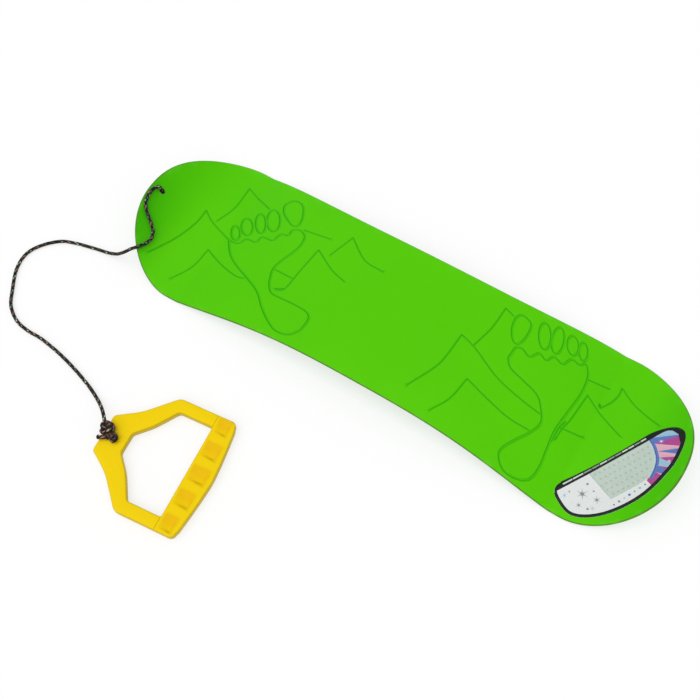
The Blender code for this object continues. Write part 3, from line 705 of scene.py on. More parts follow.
# Rope
def braid(name, line, radius, closed=False, tip=None, finish=ROPE_FINISH):
    """A tube of braided carriers round a centre line; tip swells and closes the last end."""
    count = len(line)
    ahead = directions(line, closed)
    side = np.cross(ahead[0], (0.0, 0.0, 1.0))
    if np.linalg.norm(side) < LEAST_SIDE:
        side = np.cross(ahead[0], (1.0, 0.0, 0.0))
    sides = []
    for forward in ahead:
        side = side - forward * side.dot(forward)
        side = side / np.linalg.norm(side)
        sides.append(side)
    sides = np.array(sides)
    ups = np.cross(ahead, sides)
    places = travelled(line)
    cells = places / CELL_LENGTH
    twist = np.zeros(count)
    if closed:
        total = places[-1] + np.linalg.norm(line[0] - line[-1])
        whole = max(1, round(total / CELL_LENGTH))
        cells = places / total * whole
        last = sides[-1] - ahead[0] * sides[-1].dot(ahead[0])
        twist = -math.atan2(last.dot(ups[0]), last.dot(sides[0])) * places / total
    swell = np.ones(count)
    if tip:
        left = places[-1] - places
        swell = 1.0 + (tip - 1.0) * np.clip(1.0 - left / (TIP_SWELL_REACH * radius), 0.0, 1.0)
        rounded = 1.0 - np.clip(left / (TIP_ROUND_REACH * radius), 0.0, 1.0)
        swell *= np.sqrt(np.clip(1.0 - rounded ** 2, TIP_LEAST, 1.0))
    turns = np.arange(RING_VERTS) / RING_VERTS
    angle = 2 * math.pi * turns[None] + twist[:, None]
    right = CARRIERS * turns[None] + cells[:, None]
    left_way = CARRIERS * turns[None] - cells[:, None]
    over = (np.floor(right + CELL_MARGIN) + np.floor(left_way + CELL_MARGIN)) % 2
    along = np.where(over < 0.5, left_way, right) % 1.0
    crown = np.where(over < 0.5, right, left_way) % 1.0
    rise = np.sqrt(np.clip(4 * crown * (1 - crown), 0.0, 1.0))
    rise *= STRAND_LEAST_RISE + (1.0 - STRAND_LEAST_RISE) * np.sin(math.pi * along)
    reach = (radius + STRAND_SWELL - STRAND_RISE + STRAND_RISE * rise) * swell[:, None]
    points = (line[:, None] + sides[:, None] * (np.cos(angle) * reach)[..., None]
              + ups[:, None] * (np.sin(angle) * reach)[..., None])
    bm = bmesh.new()
    layer = bm.loops.layers.uv.new("braid")
    rings = [[bm.verts.new(point) for point in ring] for ring in points]
    if closed:
        rings.append(rings[0])
        cells = [*cells, whole]
    for ring, following, low, high in zip(rings, rings[1:], cells, cells[1:]):
        for turn, face in zip(turns, join_rings(bm, ring, following)):
            next_turn = turn + 1 / RING_VERTS
            corners = ((turn, low), (next_turn, low), (next_turn, high), (turn, high))
            for loop, place in zip(face.loops, corners):
                loop[layer].uv = place
    if not closed:
        for ring in (rings[0][::-1], rings[-1]):
            for loop in bm.faces.new(ring).loops:
                loop[layer].uv = END_UV
    bmesh.ops.recalc_face_normals(bm, faces=bm.faces)
    tube = object_from(bm, name, finish)
    tube.data.shade_smooth()
    return tube


def knot_line():
    """One rope that winds three times through a small ring."""
    turn = 2 * math.pi * np.arange(KNOT_SAMPLES) / KNOT_SAMPLES
    reach = KNOT_RING_RADIUS + KNOT_STRAND_RADIUS * np.cos(3 * turn)
    return np.stack([reach * np.cos(2 * turn), reach * np.sin(2 * turn),
                     KNOT_STRAND_RADIUS * np.sin(3 * turn)], axis=1)


def moved(points, matrix):
    return np.array([matrix @ Vector(point) for point in points])


def make_rope():
    """The free rope as one braid, from knot to knot."""
    route = [Vector(point) + SHIFT for point in ROPE_ROUTE + LEAD_ROUTE[1:]]
    line = smooth_curve(route, RING_STEP)
    rope = braid("rope", line, ROPE_RADIUS)
    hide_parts("rope_run", "rope_lead")
    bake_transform(rope)
    return rope, line


def make_nose_knot():
    _, slope = underside(HOLE_PLACE[0])
    middle = deck_point(*HOLE_PLACE, -SEAT_GAP - KNOT_HALF_HEIGHT)
    place = Matrix.Translation(middle) @ Matrix.Rotation(-math.atan(slope), 4, "Y")
    knot = braid("nose_stopper_knot", moved(knot_line(), place), KNOT_ROPE_RADIUS, closed=True)
    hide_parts("nose_knot")
    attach(knot, "board")
    return knot


def make_handle_ropework():
    radius = KNOT_ROPE_RADIUS + KNOT_SWELL
    turned = Matrix.Rotation(HANDLE_KNOT_TURN, 4, "Z")
    place = HANDLE_FRAME @ Matrix.Translation(HANDLE_KNOT_PLACE) @ turned
    knot = braid("handle_end_knot", moved(knot_line(), place), radius, closed=True, finish=KNOT_FINISH)
    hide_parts("handle_knot")
    route = smooth_curve(LOOP_ROUTE, RING_STEP)
    loop = braid("handle_loop", moved(route, HANDLE_FRAME), radius, finish=KNOT_FINISH)
    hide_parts("rope_loop")
    height = HANDLE_THICKNESS + SEAT_GAP + KNOT_ROPE_RADIUS
    ends = [(*FREE_END_ROOT, height + KNOT_SWELL), (*FREE_END_TIP, height + FREE_END_RISE)]
    route = even(np.array(ends), RING_STEP)
    tail = braid("rope_free_end", moved(route, HANDLE_FRAME), radius, tip=FREE_END_TIP_SWELL,
                 finish=KNOT_FINISH)
    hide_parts("rope_tail")
    for item in (knot, loop, tail):
        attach(item, "handle")
    return [knot, loop, tail]


rope, rope_line = make_rope()
nose_knot = make_nose_knot()
handle_ropework = make_handle_ropework()

# Deck: the engraved drawing, in millimetres from its middle
MOUNTAIN_STROKES = [
    [(-309, -71), (-296, -36), (-289, -4), (-289, 19)], [(-289, 19), (-274, 10), (-241, -1)],
    [(-269, 16), (-262, 43), (-263, 77)], [(-263, 77), (-242, 69), (-221, 61)],
    [(-268, -83), (-256, -56), (-254, -26)], [(-254, -26), (-224, -38), (-200, -44), (-188, -43)],
    [(-146, -38), (-136, -33)], [(-143, -39), (-135, -32), (-133, -3), (-130, 34)],
    [(-130, 34), (-101, 17), (-79, 10)],
    [(-113, 36), (-103, 69)], [(-103, 69), (-74, 48), (-49, 45)],
    [(-162, 51), (-127, 54)],
    [(-161, -15), (-136, -16)],
    [(51, -66), (66, -32), (70, -12), (72, 20)], [(72, 20), (93, 13), (130, -5), (164, -13), (190, -16)],
    [(90, 16), (97, 46), (99, 78)], [(99, 78), (111, 74)],
    [(86, -80), (98, -56), (103, -25)], [(103, -25), (130, -33), (161, -40), (188, -40)],
    [(219, 53), (244, 58)],
    [(217.5, -33), (219, -16), (222, -3), (224, 16), (226, 36)], [(226, 36), (247, 25), (278, 11)],
    [(215, -36), (215.5, -18), (218.5, -7)],
    [(215, -17), (241, -12)],
    [(245.5, 31.5), (252.4, 42.6), (256.6, 55), (256.5, 66.8)], [(256.5, 66.8), (277, 54), (309, 41)],
]
FEET = [
    [(-239, -1), (-234, -8), (-223, -20), (-207, -30), (-182, -41), (-162, -51), (-144, -67),
     (-127, -79), (-113, -85), (-98, -83), (-89, -73), (-87, -61), (-89, -51), (-98, -46),
     (-118, -45), (-143, -45), (-153, -38), (-159, -27), (-163, -15), (-161, -1), (-154, 21),
     (-153, 35), (-157, 45), (-167, 49), (-174, 45), (-175, 36), (-184, 33), (-188, 21),
     (-202, 20), (-206, 10), (-219, 9), (-224, 0), (-232, -2)],
    [(131, 30), (131, 23), (139, 14), (157, 9), (177, 3), (188, -8), (196, -24), (191, -41),
     (180, -60), (173, -76), (176, -87), (188, -96), (206, -94), (215, -85), (217, -68),
     (215, -47), (213, -23), (216, 5), (219, 31), (218, 52), (214, 63), (208, 69), (203, 64),
     (192, 64), (186, 53), (174, 55), (168, 46), (158, 49), (150, 39), (139, 43), (132, 40)],
]
BIG_TOES = [
    [(-197, 86), (-184, 83), (-174, 67), (-172, 55), (-178, 51), (-189, 56), (-200, 64), (-205, 75)],
    [(120, 81), (133, 77), (136, 63), (133.5, 48), (126.5, 45), (117.5, 58), (115, 73)],
]
# Each small toe: its two far ends, then its two sides
SMALL_TOES = [
    ((-214, 62), (-195, 33), (-213, 45), (-198, 52)), ((-226, 50), (-208, 24), (-222, 32), (-210, 37)),
    ((-238, 37), (-222, 14), (-236, 22), (-222, 27)), ((-245, 21), (-231, 2), (-244, 10), (-233, 14)),
    ((146, 87), (161, 57), (146, 67), (158, 75)), ((163, 92), (174, 60), (163, 73), (175, 81)),
    ((180, 91), (192, 70), (181, 76), (192, 84)), ((194.5, 91), (204.5, 71), (195.5, 78), (204, 84)),
]


def in_metres(points):
    return np.array(points, float) / TO_MILLIMETRES


def toe_oval(top, bottom, left, right):
    top, bottom, left, right = np.array((top, bottom, left, right), float)
    middle, long_way, short_way = (top + bottom) / 2, (top - bottom) / 2, (right - left) / 2
    turns = 2 * math.pi * np.arange(TOE_STEPS) / TOE_STEPS
    return [middle + long_way * math.cos(turn) + short_way * math.sin(turn) for turn in turns]


def engraved_strokes():
    lines = [smooth_curve(in_metres(stroke), STROKE_SPACING) for stroke in MOUNTAIN_STROKES]
    rounds = [smooth_curve(in_metres(points), STROKE_SPACING, closed=True)
              for points in FEET + BIG_TOES + [toe_oval(*toe) for toe in SMALL_TOES]]
    return lines, rounds


def deck_outline():
    """The deck's outline, anticlockwise, at an even spacing."""
    angles = np.linspace(0.0, math.pi / 2, TIP_STEPS)
    tip_x = WIDE_PLACE + TIP_LENGTH * np.sin(angles) ** (2 / TIP_LENGTH_POWER)
    tip_y = DECK_WIDTH / 2 * np.clip(np.cos(angles), 0.0, 1.0) ** (2 / TIP_WIDTH_POWER)
    middle_x = np.linspace(-WIDE_PLACE, WIDE_PLACE, SIDE_STEPS)
    share = (np.abs(middle_x) / WIDE_PLACE) ** (SIDECUT_POWER / 2)
    middle_y = (DECK_WAIST + (DECK_WIDTH - DECK_WAIST) * np.sin(math.pi / 2 * share) ** 2) / 2
    middle, tip = np.stack([middle_x, middle_y], 1), np.stack([tip_x, tip_y], 1)
    tail = [tip[1:] * (1, -1), tip[-2::-1]]
    nose = [tip[1:] * (-1, 1), -tip[-2:0:-1]]
    ring = np.concatenate([middle * (1, -1), *tail, middle[-2::-1], *nose])
    return even(shut(ring), OUTLINE_SPACING)[:-1]


def deck_sheet(outline, spacing, lines=(), rounds=()):
    """Triangles of one face of the deck, refined along the engraved strokes."""
    flat = Flat(offset_line(outline, DECK_RIM_RADIUS, closed=True))
    flat.add_ring(offset_line(outline, 2 * DECK_RIM_RADIUS, closed=True))
    lip = circle(HOLE_PLACE, HOLE_RADIUS + HOLE_LIP, HOLE_STEPS)
    flat.add_ring(lip)
    flat.add_ring(circle(HOLE_PLACE, HOLE_SUPPORT, HOLE_STEPS))
    for stroke in lines:
        flat.add_beside(stroke, LINE_SUPPORTS)
    for stroke in rounds:
        flat.add_beside(stroke[:-1], FOOT_SUPPORTS, closed=True)
    corner = np.array((DECK_LENGTH / 2, DECK_WIDTH / 2))
    grid = grid_over(-corner, corner, spacing)
    keep = within(grid, outline) & (distance_to(grid, [shut(outline)]) > CLEAR_OF_RIM)
    keep &= np.hypot(grid[:, 0] - HOLE_PLACE[0], grid[:, 1]) > CLEAR_OF_HOLE
    if len(lines):
        keep &= distance_to(grid, lines + rounds) > CLEAR_OF_STROKE
    flat.add(grid[keep])
    points, faces = flat.triangles()
    return points, without(points, faces, lip)


def engraving(points, lines, rounds):
    """Depth of the engraving at each point, and the painted shade there: in the grooves, and most on a
    foot line's wall turned from the light.
    """
    line = 1.0 - smoothstep(distance_to(points, lines) / LINE_HALF_WIDTH)
    to_round, way = nearest_on(points, rounds)
    foot = 1.0 - smoothstep((to_round - FOOT_FLAT) / (FOOT_HALF_WIDTH - FOOT_FLAT))
    depth = np.maximum(LINE_DEPTH * line, FOOT_DEPTH * foot)
    # Painted shade on a foot line's walls, heaviest on the wall turned from the light
    wall = np.clip(1.0 - np.abs(to_round - FOOT_WALL_PLACE) / FOOT_WALL_REACH, 0.0, 1.0)
    lee_shade = np.clip(LEE_MIDDLE + 0.5 * way @ np.array(LEE_SIDE), 0.0, 1.0)
    return depth, np.maximum(LINE_PAINTED_SHADE * line, lee_shade * wall + FOOT_PAINTED_SHADE * foot)


def rounded_edge(size, steps):
    """Inset and height along an edge of the deck, rounded at the top and the bottom."""
    upper = [(size * (1 - math.sin(turn)), DECK_THICKNESS - size * (1 - math.cos(turn)))
             for turn in np.linspace(0.0, math.pi / 2, steps)]
    return upper + [(inset, DECK_THICKNESS - above) for inset, above in reversed(upper)]


def make_deck():
    outline = deck_outline()
    lines, rounds = engraved_strokes()
    bm = bmesh.new()
    shade_layer, rim_layer, side_shade_layer = float_layers(bm, "line_shade", "rim", "side")
    top, top_faces = deck_sheet(outline, TOP_GRID, lines, rounds)
    depth, shade = engraving(top, lines, rounds)
    rubbed = 1.0 - smoothstep((distance_to(top, [shut(outline)]) - RUBBED_START) / RUBBED_REACH)
    verts = []
    for (x, y), down, dark, rim in zip(top, depth, shade, rubbed):
        vert = bm.verts.new(deck_point(x, y, DECK_THICKNESS - down))
        vert[shade_layer], vert[rim_layer] = dark, rim
        verts.append(vert)
    for face in top_faces:
        bm.faces.new([verts[index] for index in face])
    low, low_faces = deck_sheet(outline, UNDER_GRID)
    verts = [bm.verts.new(deck_point(x, y, 0.0)) for x, y in low]
    for face in low_faces:
        bm.faces.new([verts[index] for index in reversed(face)])

    def band(rings):
        """Quads between rings that run from the top to the underside."""
        rows = []
        for ring, above in rings:
            row = [bm.verts.new(deck_point(x, y, above)) for x, y in ring]
            for vert in row:
                vert[rim_layer] = 1.0
                # Painted shade on the side walls of the outline and the rope hole, not at their top or
                # bottom rings
                vert[side_shade_layer] = 1.0 if 0.0 < above < DECK_THICKNESS else 0.0
            rows.append(row)
        for row, following in zip(rows, rows[1:]):
            join_rings(bm, row, following)

    band([(offset_line(outline, inset, closed=True), above)
          for inset, above in rounded_edge(DECK_RIM_RADIUS, RIM_ROUND_STEPS)])
    band([(circle(HOLE_PLACE, HOLE_RADIUS + inset, HOLE_STEPS), above)
          for inset, above in rounded_edge(HOLE_LIP, HOLE_ROUND_STEPS)])
    bmesh.ops.remove_doubles(bm, verts=bm.verts[:], dist=WELD_DISTANCE)
    bmesh.ops.recalc_face_normals(bm, faces=bm.faces)
    deck = object_from(bm, "deck_shell", DECK_FINISH)
    deck.data.shade_smooth()
    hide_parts("deck")
    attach(deck, "board")


make_deck()


# Label: inks, then the design in millimetres in its own frame, whose x runs along the straight side
INKS = {
    "black": ((0.006, 0.010, 0.008), (0.011, 0.016, 0.013), 0.36, 0.22),
    "white": ((0.74, 0.77, 0.76), (0.69, 0.72, 0.715)),
    "grey_green": ((0.53, 0.62, 0.55), (0.44, 0.53, 0.46)),
    "blue": ((0.10, 0.17, 0.50), (0.13, 0.21, 0.54)),
    "magenta": ((0.42, 0.05, 0.26), (0.48, 0.09, 0.33)),
    "pink": ((0.72, 0.42, 0.52), (0.66, 0.34, 0.46)),
    "sky": ((0.30, 0.50, 0.66), (0.36, 0.56, 0.70)),
    "strip": ((0.60, 0.66, 0.60), (0.52, 0.58, 0.52)),
    "grey": ((0.24, 0.27, 0.28), (0.30, 0.33, 0.34)),
    "dot": ((0.42, 0.50, 0.45), (0.38, 0.46, 0.40)),
    "strip_dim": ((0.27, 0.34, 0.28), (0.20, 0.26, 0.21)),
}
LABEL_RING = [
    (-83.6, -24), (-83.5, -14), (-81.8, -7.8), (-77.5, -3.9), (-70, -2.4), (-50, -2.4), (-20, -1.9),
    (5, -1.0), (30, 0.2), (46, 0.8), (57, -0.7), (66.5, -3.8), (72.6, -8.6), (74.3, -14.8),
    (71.6, -20.8), (63.4, -28.8), (51, -37.4), (40, -43.6), (29, -47.8), (16, -52.3), (0, -56.2),
    (-16, -57.8), (-34, -57.2), (-51, -54.2), (-66, -48.6), (-76.5, -41.6), (-81.8, -34),
]
ARC = [(39.5, 4), (38.5, -7), (37, -14), (34, -21), (30, -28), (22, -35.5), (12, -42)]
ARC_SPACING = 1.5
ARC_STRIPES = [("blue", 2.0, 4.4), ("black", 1.5, 2.0), ("sky", 0.4, 1.5), ("white", 0.0, 0.4)]
GROUND = [(36, 4), (39, -12), (30, -30), (9, -44), (9, -62), (95, -62), (95, 4)]
FACETS_NEAR = 4.4
FACETS_FAR = 34.0
FACET_PAIRS = [("pink", "magenta"), ("sky", "blue"), ("magenta", "pink"), ("blue", "pink"),
               ("magenta", "sky"), ("magenta", "blue"), ("pink", "magenta")]
GROUND_STARS = [("white", 49, -13, 3.2), ("white", 40, -37, 2.6)]
DARK_END = [(50, 3), (60, -3.6), (66, -8.5), (67.4, -15.5), (63, -23), (59, -33), (95, -34), (95, 3)]
DARK_CORNER = [(44, 4), (46, -3.4), (56, -3.0), (60, 4)]
PANEL_CORNERS = [(0, -43.5), (-33, -43.5), (-38, -4)]
PALE_STARS = [("grey", -56, -24, 7.5), ("sky", -74, -17, 3.6), ("grey", -67, -15.5, 2.6),
              ("grey", -66, -33, 4.4), ("grey", -46, -37, 5.4), ("grey_green", -55, -43, 4.6)]
FLAKES = [("grey", -45, -17, 1.5), ("grey", -60, -41, 1.4), ("grey", -43.5, -27, 1.1)]
FLAKES += [(("blue", "grey", "sky")[index % 3], -34 + 6.5 * index, -50.2 + 0.55 * index,
            (1.0, 1.5)[index % 2]) for index in range(7)]
DOTS = [(-32 + 6 * column + 3 * (row % 2) - 0.4 * row, -11.5 - 7 * row)
        for row in range(5) for column in range(12)]
DOT_RADIUS = 1.4
STAR_STEPS = 24
STAR_NECK_SHARE = 0.24
STAR_POINT_SHARE = 0.42
# The dark band along the straight side, and the strips in it
BAND_SLOPE = 0.034
BAND_EDGES = (-95, 95, -6.6, 8)
STRIP_ENDS = (-69, -56, -42, -31, -21, -11, -1, 8, 16, 24, 32, 39.5)
STRIP_GAP = 0.9
STRIP_EDGES = (-4.0, -2.4)
PALE_STRIPS = (0, 1, 4, 7, 8, 10)


def label_outline(inset=0.0):
    ring = anticlockwise(smooth_curve(in_metres(LABEL_RING), LABEL_SPACING, closed=True)[:-1])
    return offset_line(ring, inset, closed=True)


def snow_star(x, y, radius):
    """Outline of a star with six slim arms and a short point between each two."""
    reach = np.resize((1.0, STAR_NECK_SHARE, STAR_POINT_SHARE, STAR_NECK_SHARE), STAR_STEPS)
    return circle((x, y), radius * reach, STAR_STEPS)


def sloped(x0, x1, low, high):
    return [(x, y + BAND_SLOPE * x) for x, y in ((x0, low), (x1, low), (x1, high), (x0, high))]


def label_design():
    """Ink and outline of each motif, in millimetres and in the order of printing."""
    arc = smooth_curve(ARC, ARC_SPACING)
    near, far = offset_line(arc, FACETS_NEAR), offset_line(arc, FACETS_FAR)
    panel = np.concatenate([arc[1:], PANEL_CORNERS])
    yield "magenta", GROUND
    steps = np.linspace(0, len(arc) - 1, len(FACET_PAIRS) + 1).astype(int)
    for (ink, other), first, last in zip(FACET_PAIRS, steps, steps[1:]):
        yield ink, (near[first], far[first], far[last])
        yield other, (near[first], far[last], near[last])
    for ink, low, high in ARC_STRIPES:
        yield ink, np.concatenate([offset_line(arc, low), offset_line(arc, high)[::-1]])
    for ink, *place in GROUND_STARS:
        yield ink, snow_star(*place)
    yield "black", DARK_END
    yield "black", DARK_CORNER
    yield "grey_green", panel
    for ink, *place in PALE_STARS:
        yield ink, snow_star(*place)
    for ink, x, y, radius in FLAKES:
        yield ink, circle((x, y), radius, 6)
    for dot in [circle(place, DOT_RADIUS, 6) for place in DOTS]:
        if within(dot, panel).all():
            yield "dot", dot
    yield "black", sloped(*BAND_EDGES)
    for index, (first, last) in enumerate(zip(STRIP_ENDS, STRIP_ENDS[1:])):
        ink = "strip" if index in PALE_STRIPS else "strip_dim"
        yield ink, sloped(first, last - STRIP_GAP, *STRIP_EDGES)


def make_label():
    outline, field = label_outline(), label_outline(LABEL_RIM)
    design = [(ink, in_metres(points)) for ink, points in label_design()]
    flat = Flat(outline)
    flat.add_ring(field)
    for _, points in design:
        flat.add_ring(points)
    grid = grid_over(outline.min(0), outline.max(0), (LABEL_GRID, LABEL_GRID))
    flat.add(grid[within(grid, outline) & (distance_to(grid, [shut(outline)]) > LABEL_CLEAR)])
    points, faces = flat.triangles()
    faces = [face for face, inside in zip(faces, within(middles_of(points, faces), outline)) if inside]
    middles = middles_of(points, faces)
    in_field, in_strip = within(middles, field), within(middles, label_outline(LABEL_STRIP_RIM))
    number = {ink: index for index, ink in enumerate(INKS)}
    chosen = np.where(in_field, number["white"], number["black"])
    for ink, shape in design:
        zone = in_strip if ink in ("strip", "strip_dim") else in_field
        chosen[within(middles, shape) & zone] = number[ink]
    along, across = math.cos(LABEL_TURN), math.sin(LABEL_TURN)
    placed = points @ np.array([[along, across], [-across, along]]) + np.array(LABEL_PLACE)
    bm = bmesh.new()
    upper, lower = ([bm.verts.new(deck_point(x, y, DECK_THICKNESS + above)) for x, y in placed]
                    for above in (LABEL_HIGH, LABEL_LOW))
    tops = fill_plate(bm, upper, lower, faces)
    for face in bm.faces:
        face.material_index = number["white"]
    for face, ink in zip(tops, chosen):
        face.material_index = int(ink)
        face.smooth = True
    finishes = [printed_film("label_" + ink, *look) for ink, look in INKS.items()]
    label = object_from(bm, "label_film", *finishes)
    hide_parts("label")
    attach(label, "board")


make_label()


# Handle
def round_corner(before, corner, after, radius, steps):
    to_before = (before - corner).normalized()
    to_after = (after - corner).normalized()
    half_angle = math.acos(max(-1.0, min(1.0, to_before.dot(to_after)))) / 2
    middle = corner + (to_before + to_after).normalized() * (radius / math.sin(half_angle))
    first = corner + to_before * (radius / math.tan(half_angle)) - middle
    sweep = math.pi - 2 * half_angle
    if to_before.x * to_after.y - to_before.y * to_after.x > 0:
        sweep = -sweep
    return [middle + Matrix.Rotation(sweep * step / steps, 2) @ first for step in range(steps + 1)]


def rounded_outline(corners, steps):
    points = []
    for index, (corner, radius) in enumerate(corners):
        before, after = corners[index - 1][0], corners[(index + 1) % len(corners)][0]
        points += round_corner(before, corner, after, radius, steps)
    return points


def bow_depth(across):
    return HANDLE_DEPTH - HANDLE_BOW_RISE * abs(across / HANDLE_HALF_WIDTH) ** HANDLE_BOW_POWER


def handle_rings():
    """The handle's outline and its opening, as even anticlockwise rings."""
    def both_sides(corners):
        side = [(Vector((depth, across)), radius) for depth, across, radius in corners]
        side += [(Vector((place.x, -place.y)), radius) for place, radius in reversed(side)]
        return rounded_outline(side, OUTLINE_ROUND_STEPS)

    points = both_sides(OUTER_CORNERS)
    half = len(points) // 2
    reach = HANDLE_HALF_WIDTH - GRIP_ROUND
    bowed = [Vector((bow_depth(across), across)) for across in
             [reach - 2 * reach * step / BOW_STEPS for step in range(1, BOW_STEPS)]]
    points = points[:half] + bowed + points[half:]
    opening = both_sides(OPENING_CORNERS)
    return [anticlockwise(even(shut(np.array(ring)), HANDLE_SPACING)[:-1]) for ring in (points, opening)]


def pocket_boxes():
    """Middle along and across, then half sizes, of each pocket."""
    boxes = []
    for index in range(POCKETS):
        across = LAST_POCKET * (2 * index / (POCKETS - 1) - 1)
        low, high = GRIP_START + POCKET_LEDGE, bow_depth(across) - POCKET_RIM
        boxes.append(((low + high) / 2, across, (high - low) / 2, POCKET_HALF_LENGTH))
    return boxes


def rounded_box(box, inset):
    u, v, half_u, half_v = box
    radius = max(POCKET_CORNER - inset, POCKET_LEAST_CORNER)
    half_u, half_v = half_u - inset, half_v - inset
    corners = [(Vector((u + a * half_u, v + b * half_v)), radius)
               for a, b in ((-1, -1), (1, -1), (1, 1), (-1, 1))]
    return even(shut(np.array(rounded_outline(corners, POCKET_ROUND_STEPS))), POCKET_SPACING)[:-1]


def round_rim(edge, reach, size):
    """How far a rim of quarter round form falls, by the distance from the edge."""
    share = np.clip(1.0 - edge / reach, 0.0, 1.0)
    return size * (1.0 - np.sqrt(np.clip(1.0 - share ** 2, 0.0, 1.0)))


def handle_top(points, edge):
    """Height of the handle's top, the painted shade in its pockets, and its dark lines: joints, with
    painted shade at the sills and the rounded edge.
    """
    x, y = points.T
    height = HANDLE_THICKNESS - round_rim(edge, TOP_REACH, TOP_DROP)
    height -= TOP_CROWN * (1.0 - smoothstep(edge / CROWN_REACH))
    pocket_painted_shade, line = np.zeros(len(points)), np.zeros(len(points))
    for u, v, half_u, half_v in pocket_boxes():
        low, high = y - (v - half_v), v + half_v - y
        sides = (x - (u - half_u), u + half_u - x, low, high)
        height -= POCKET_DEPTH * faded(sides, POCKET_FADES)
        # Painted shade in the pocket, strongest towards its high side
        swell = POCKET_SHADE_LEAST + (1.0 - POCKET_SHADE_LEAST) * smoothstep(low / half_v - POCKET_SHADE_SWELL_START)
        pocket_painted_shade = np.maximum(pocket_painted_shade, faded(sides, POCKET_SHADE_FADES) * swell)
        # Painted shadow line along the pocket's low side, bowed across the grip
        from_sill = np.abs(low - SILL_PLACE + SILL_CURVE * (x - u) ** 2)
        sill_shadow = SILL_SHADOW * np.clip(1.0 - from_sill / SILL_REACH, 0.0, 1.0)
        line = np.maximum(line, sill_shadow * faded(sides, SILL_FADES))
    joint = np.clip(1.0 - np.abs(x - GRIP_START) / JOINT_HALF_WIDTH, 0.0, 1.0)
    joint *= np.abs(y) > OPENING_HALF_WIDTH
    line = np.maximum(line, JOINT_DARK * joint)
    # Painted shade along the top's rounded edge
    line = np.maximum(line, EDGE_SHADE * (1.0 - smoothstep(edge / EDGE_SHADE_REACH)))
    from_hole = np.hypot(x - ROPE_HOLE_PLACE[0], y) - ROPE_HOLE_RADIUS
    lip = ROPE_HOLE_DROP * (1.0 - smoothstep(from_hole / ROPE_HOLE_LIP))
    return height - JOINT_DEPTH * joint - lip, pocket_painted_shade, line


def handle_bottom(points, edge):
    """Height of the handle's underside: rounded rims, and the groove under the rope."""
    x, y = points.T
    height = round_rim(edge, BOTTOM_REACH, BOTTOM_RISE)
    in_groove = (x < ROPE_HOLE_PLACE[0]) & (np.abs(y) < GROOVE_HALF_WIDTH + TINY)
    across = np.clip(1.0 - np.abs(y / GROOVE_HALF_WIDTH) ** GROOVE_POWER, 0.0, 1.0)
    arch = GROOVE_HEIGHT * across ** (1 / GROOVE_POWER)
    return np.where(in_groove, np.maximum(height, arch), height)


def handle_sheet():
    """Triangles of the handle from above, and each point's distance from the nearest edge."""
    outer, opening = handle_rings()
    hole = circle(ROPE_HOLE_PLACE, ROPE_HOLE_RADIUS, ROPE_HOLE_STEPS)
    flat = Flat(outer)
    for inset in RIM_SUPPORTS:
        flat.add_ring(offset_line(outer, inset, closed=True))
        flat.add_ring(offset_line(opening, -inset, closed=True))
    flat.add_ring(opening)
    flat.add_ring(hole)
    flat.add_ring(circle(ROPE_HOLE_PLACE, ROPE_HOLE_RADIUS + ROPE_HOLE_LIP, ROPE_HOLE_STEPS))
    for box in pocket_boxes():
        for inset in POCKET_SUPPORTS:
            flat.add_ring(rounded_box(box, inset))
    for side in (-1, 1):
        for share in JOINT_SUPPORT_SHARES:
            ends = [(GRIP_START + share * JOINT_HALF_WIDTH, side * (HANDLE_HALF_WIDTH - reach))
                    for reach in JOINT_SUPPORT_ENDS]
            flat.add_line(even(np.array(ends), JOINT_SPACING))
        for away in GROOVE_SUPPORTS:
            flat.add_line([(end, side * away) for end in GROOVE_SUPPORT_ENDS])
    grid = grid_over(outer.min(0), outer.max(0), (HANDLE_GRID, HANDLE_GRID))
    edges = [shut(ring) for ring in (outer, opening, hole)]
    keep = within(grid, outer) & ~within(grid, opening) & (distance_to(grid, edges) > HANDLE_CLEAR)
    flat.add(grid[keep])
    points, faces = flat.triangles()
    return points, without(points, faces, opening, hole), distance_to(points, edges[:2])


def make_handle():
    points, faces, edge = handle_sheet()
    top, pocket_painted_shade, line = handle_top(points, edge)
    bottom = handle_bottom(points, edge)
    bm = bmesh.new()
    pocket_layer, line_layer, rim_layer, side_shade_layer = float_layers(
        bm, "pocket_shade", "line_shade", "rim", "side")
    upper, lower = [], []
    for (u, v), high, low, shade, dark, away in zip(points, top, bottom, pocket_painted_shade, line, edge):
        above, below = (bm.verts.new(HANDLE_FRAME @ Vector((u, v, height))) for height in (high, low))
        above[pocket_layer], above[line_layer] = shade, dark
        above[rim_layer] = below[rim_layer] = max(0.0, 1.0 - away / HANDLE_RUBBED_REACH)
        # Painted shade at the foot of the side wall, near the floor
        below[side_shade_layer] = 1.0 if away < AT_RIM else 0.0
        upper.append(above)
        lower.append(below)
    fill_plate(bm, upper, lower, faces)
    handle = object_from(bm, "pull_handle", HANDLE_FINISH)
    handle.data.shade_smooth()
    handle.data.set_sharp_from_angle(angle=SHARP_ANGLE)
    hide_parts("handle")
    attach(handle, "handle")


make_handle()


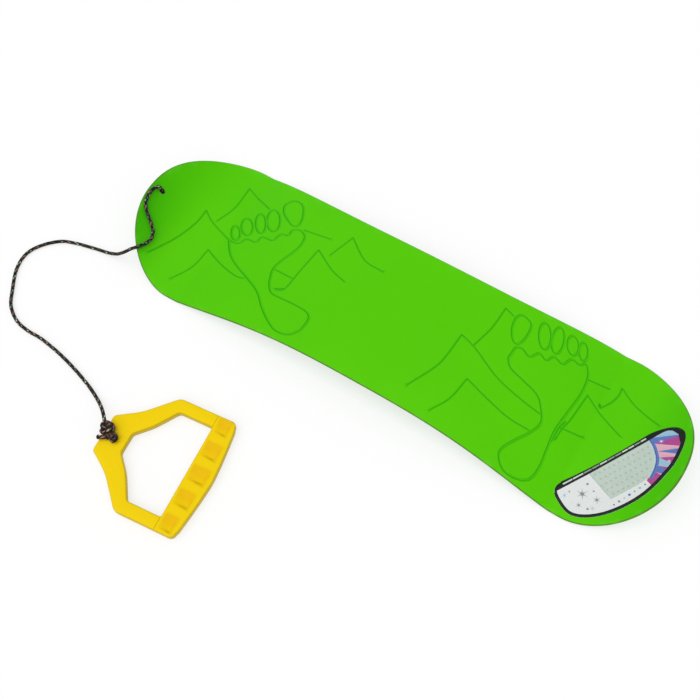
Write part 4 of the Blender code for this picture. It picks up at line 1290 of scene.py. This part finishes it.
# Stage
FLOOR_HALF_SIZE = 6
FLOOR_HEIGHT = -0.0003
FLOOR_GLOW = 0.62
FLOOR_TONES = ((0.80, 0.80, 0.80), (0.78, 0.78, 0.78))
FLOOR_MOTTLE_SCALE = 3.0
FLOOR_MOTTLE_AMOUNT = 0.02
WORLD_LIGHT = 0.58
SUN_LIGHT = 1.45
SUN_SPREAD = math.radians(90)
SUN_WAY = Vector((0.08, 0.38, -0.92))
WHITE = (1.0, 1.0, 1.0)


def make_floor():
    """White for the camera and for reflections, plain matt for the light and the shadow."""
    mesh = bpy.data.meshes.new("floor")
    corners = [(x * FLOOR_HALF_SIZE, y * FLOOR_HALF_SIZE, FLOOR_HEIGHT)
               for x, y in ((-1, -1), (1, -1), (1, 1), (-1, 1))]
    mesh.from_pydata(corners, [], [(0, 1, 2, 3)])
    s = Shader("floor_white", Roughness=1.0, Specular_IOR_Level=0.0, Emission_Color=WHITE)
    ray = s.node("ShaderNodeLightPath").outputs
    mirrored = s.math("MAXIMUM", ray["Is Glossy Ray"], ray["Is Transmission Ray"])
    seen = s.math("MAXIMUM", ray["Is Camera Ray"], mirrored)
    mottle = s.ramp(s.noise(FLOOR_MOTTLE_SCALE), 0.3, 0.7, 0.0, FLOOR_MOTTLE_AMOUNT)
    lit = 1.0 - FLOOR_GLOW
    fill(s.principled, {"Base Color": s.mix(seen, s.mix(mottle, *FLOOR_TONES), (lit, lit, lit)),
                        "Emission Strength": s.times(seen, FLOOR_GLOW)})
    add_object("floor", mesh, s.made)


def make_light():
    world = bpy.data.worlds.new("studio")
    bpy.context.scene.world = world
    world.use_nodes = True
    ray = add_node(world.node_tree, "ShaderNodeLightPath").outputs["Is Camera Ray"]
    values = {"Value": ray, "To Min": WORLD_LIGHT, "To Max": 1.0}
    strength = add_node(world.node_tree, "ShaderNodeMapRange", values).outputs["Result"]
    fill(world.node_tree.nodes["Background"], {"Color": WHITE, "Strength": strength})
    sun = bpy.data.lights.new("key", "SUN")
    sun.energy = SUN_LIGHT
    sun.angle = SUN_SPREAD
    add_object("key", sun).rotation_euler = SUN_WAY.to_track_quat("-Z", "Y").to_euler()


make_floor()
make_light()
bpy.context.scene.view_settings.view_transform = "Standard"
bpy.context.view_layer.update()
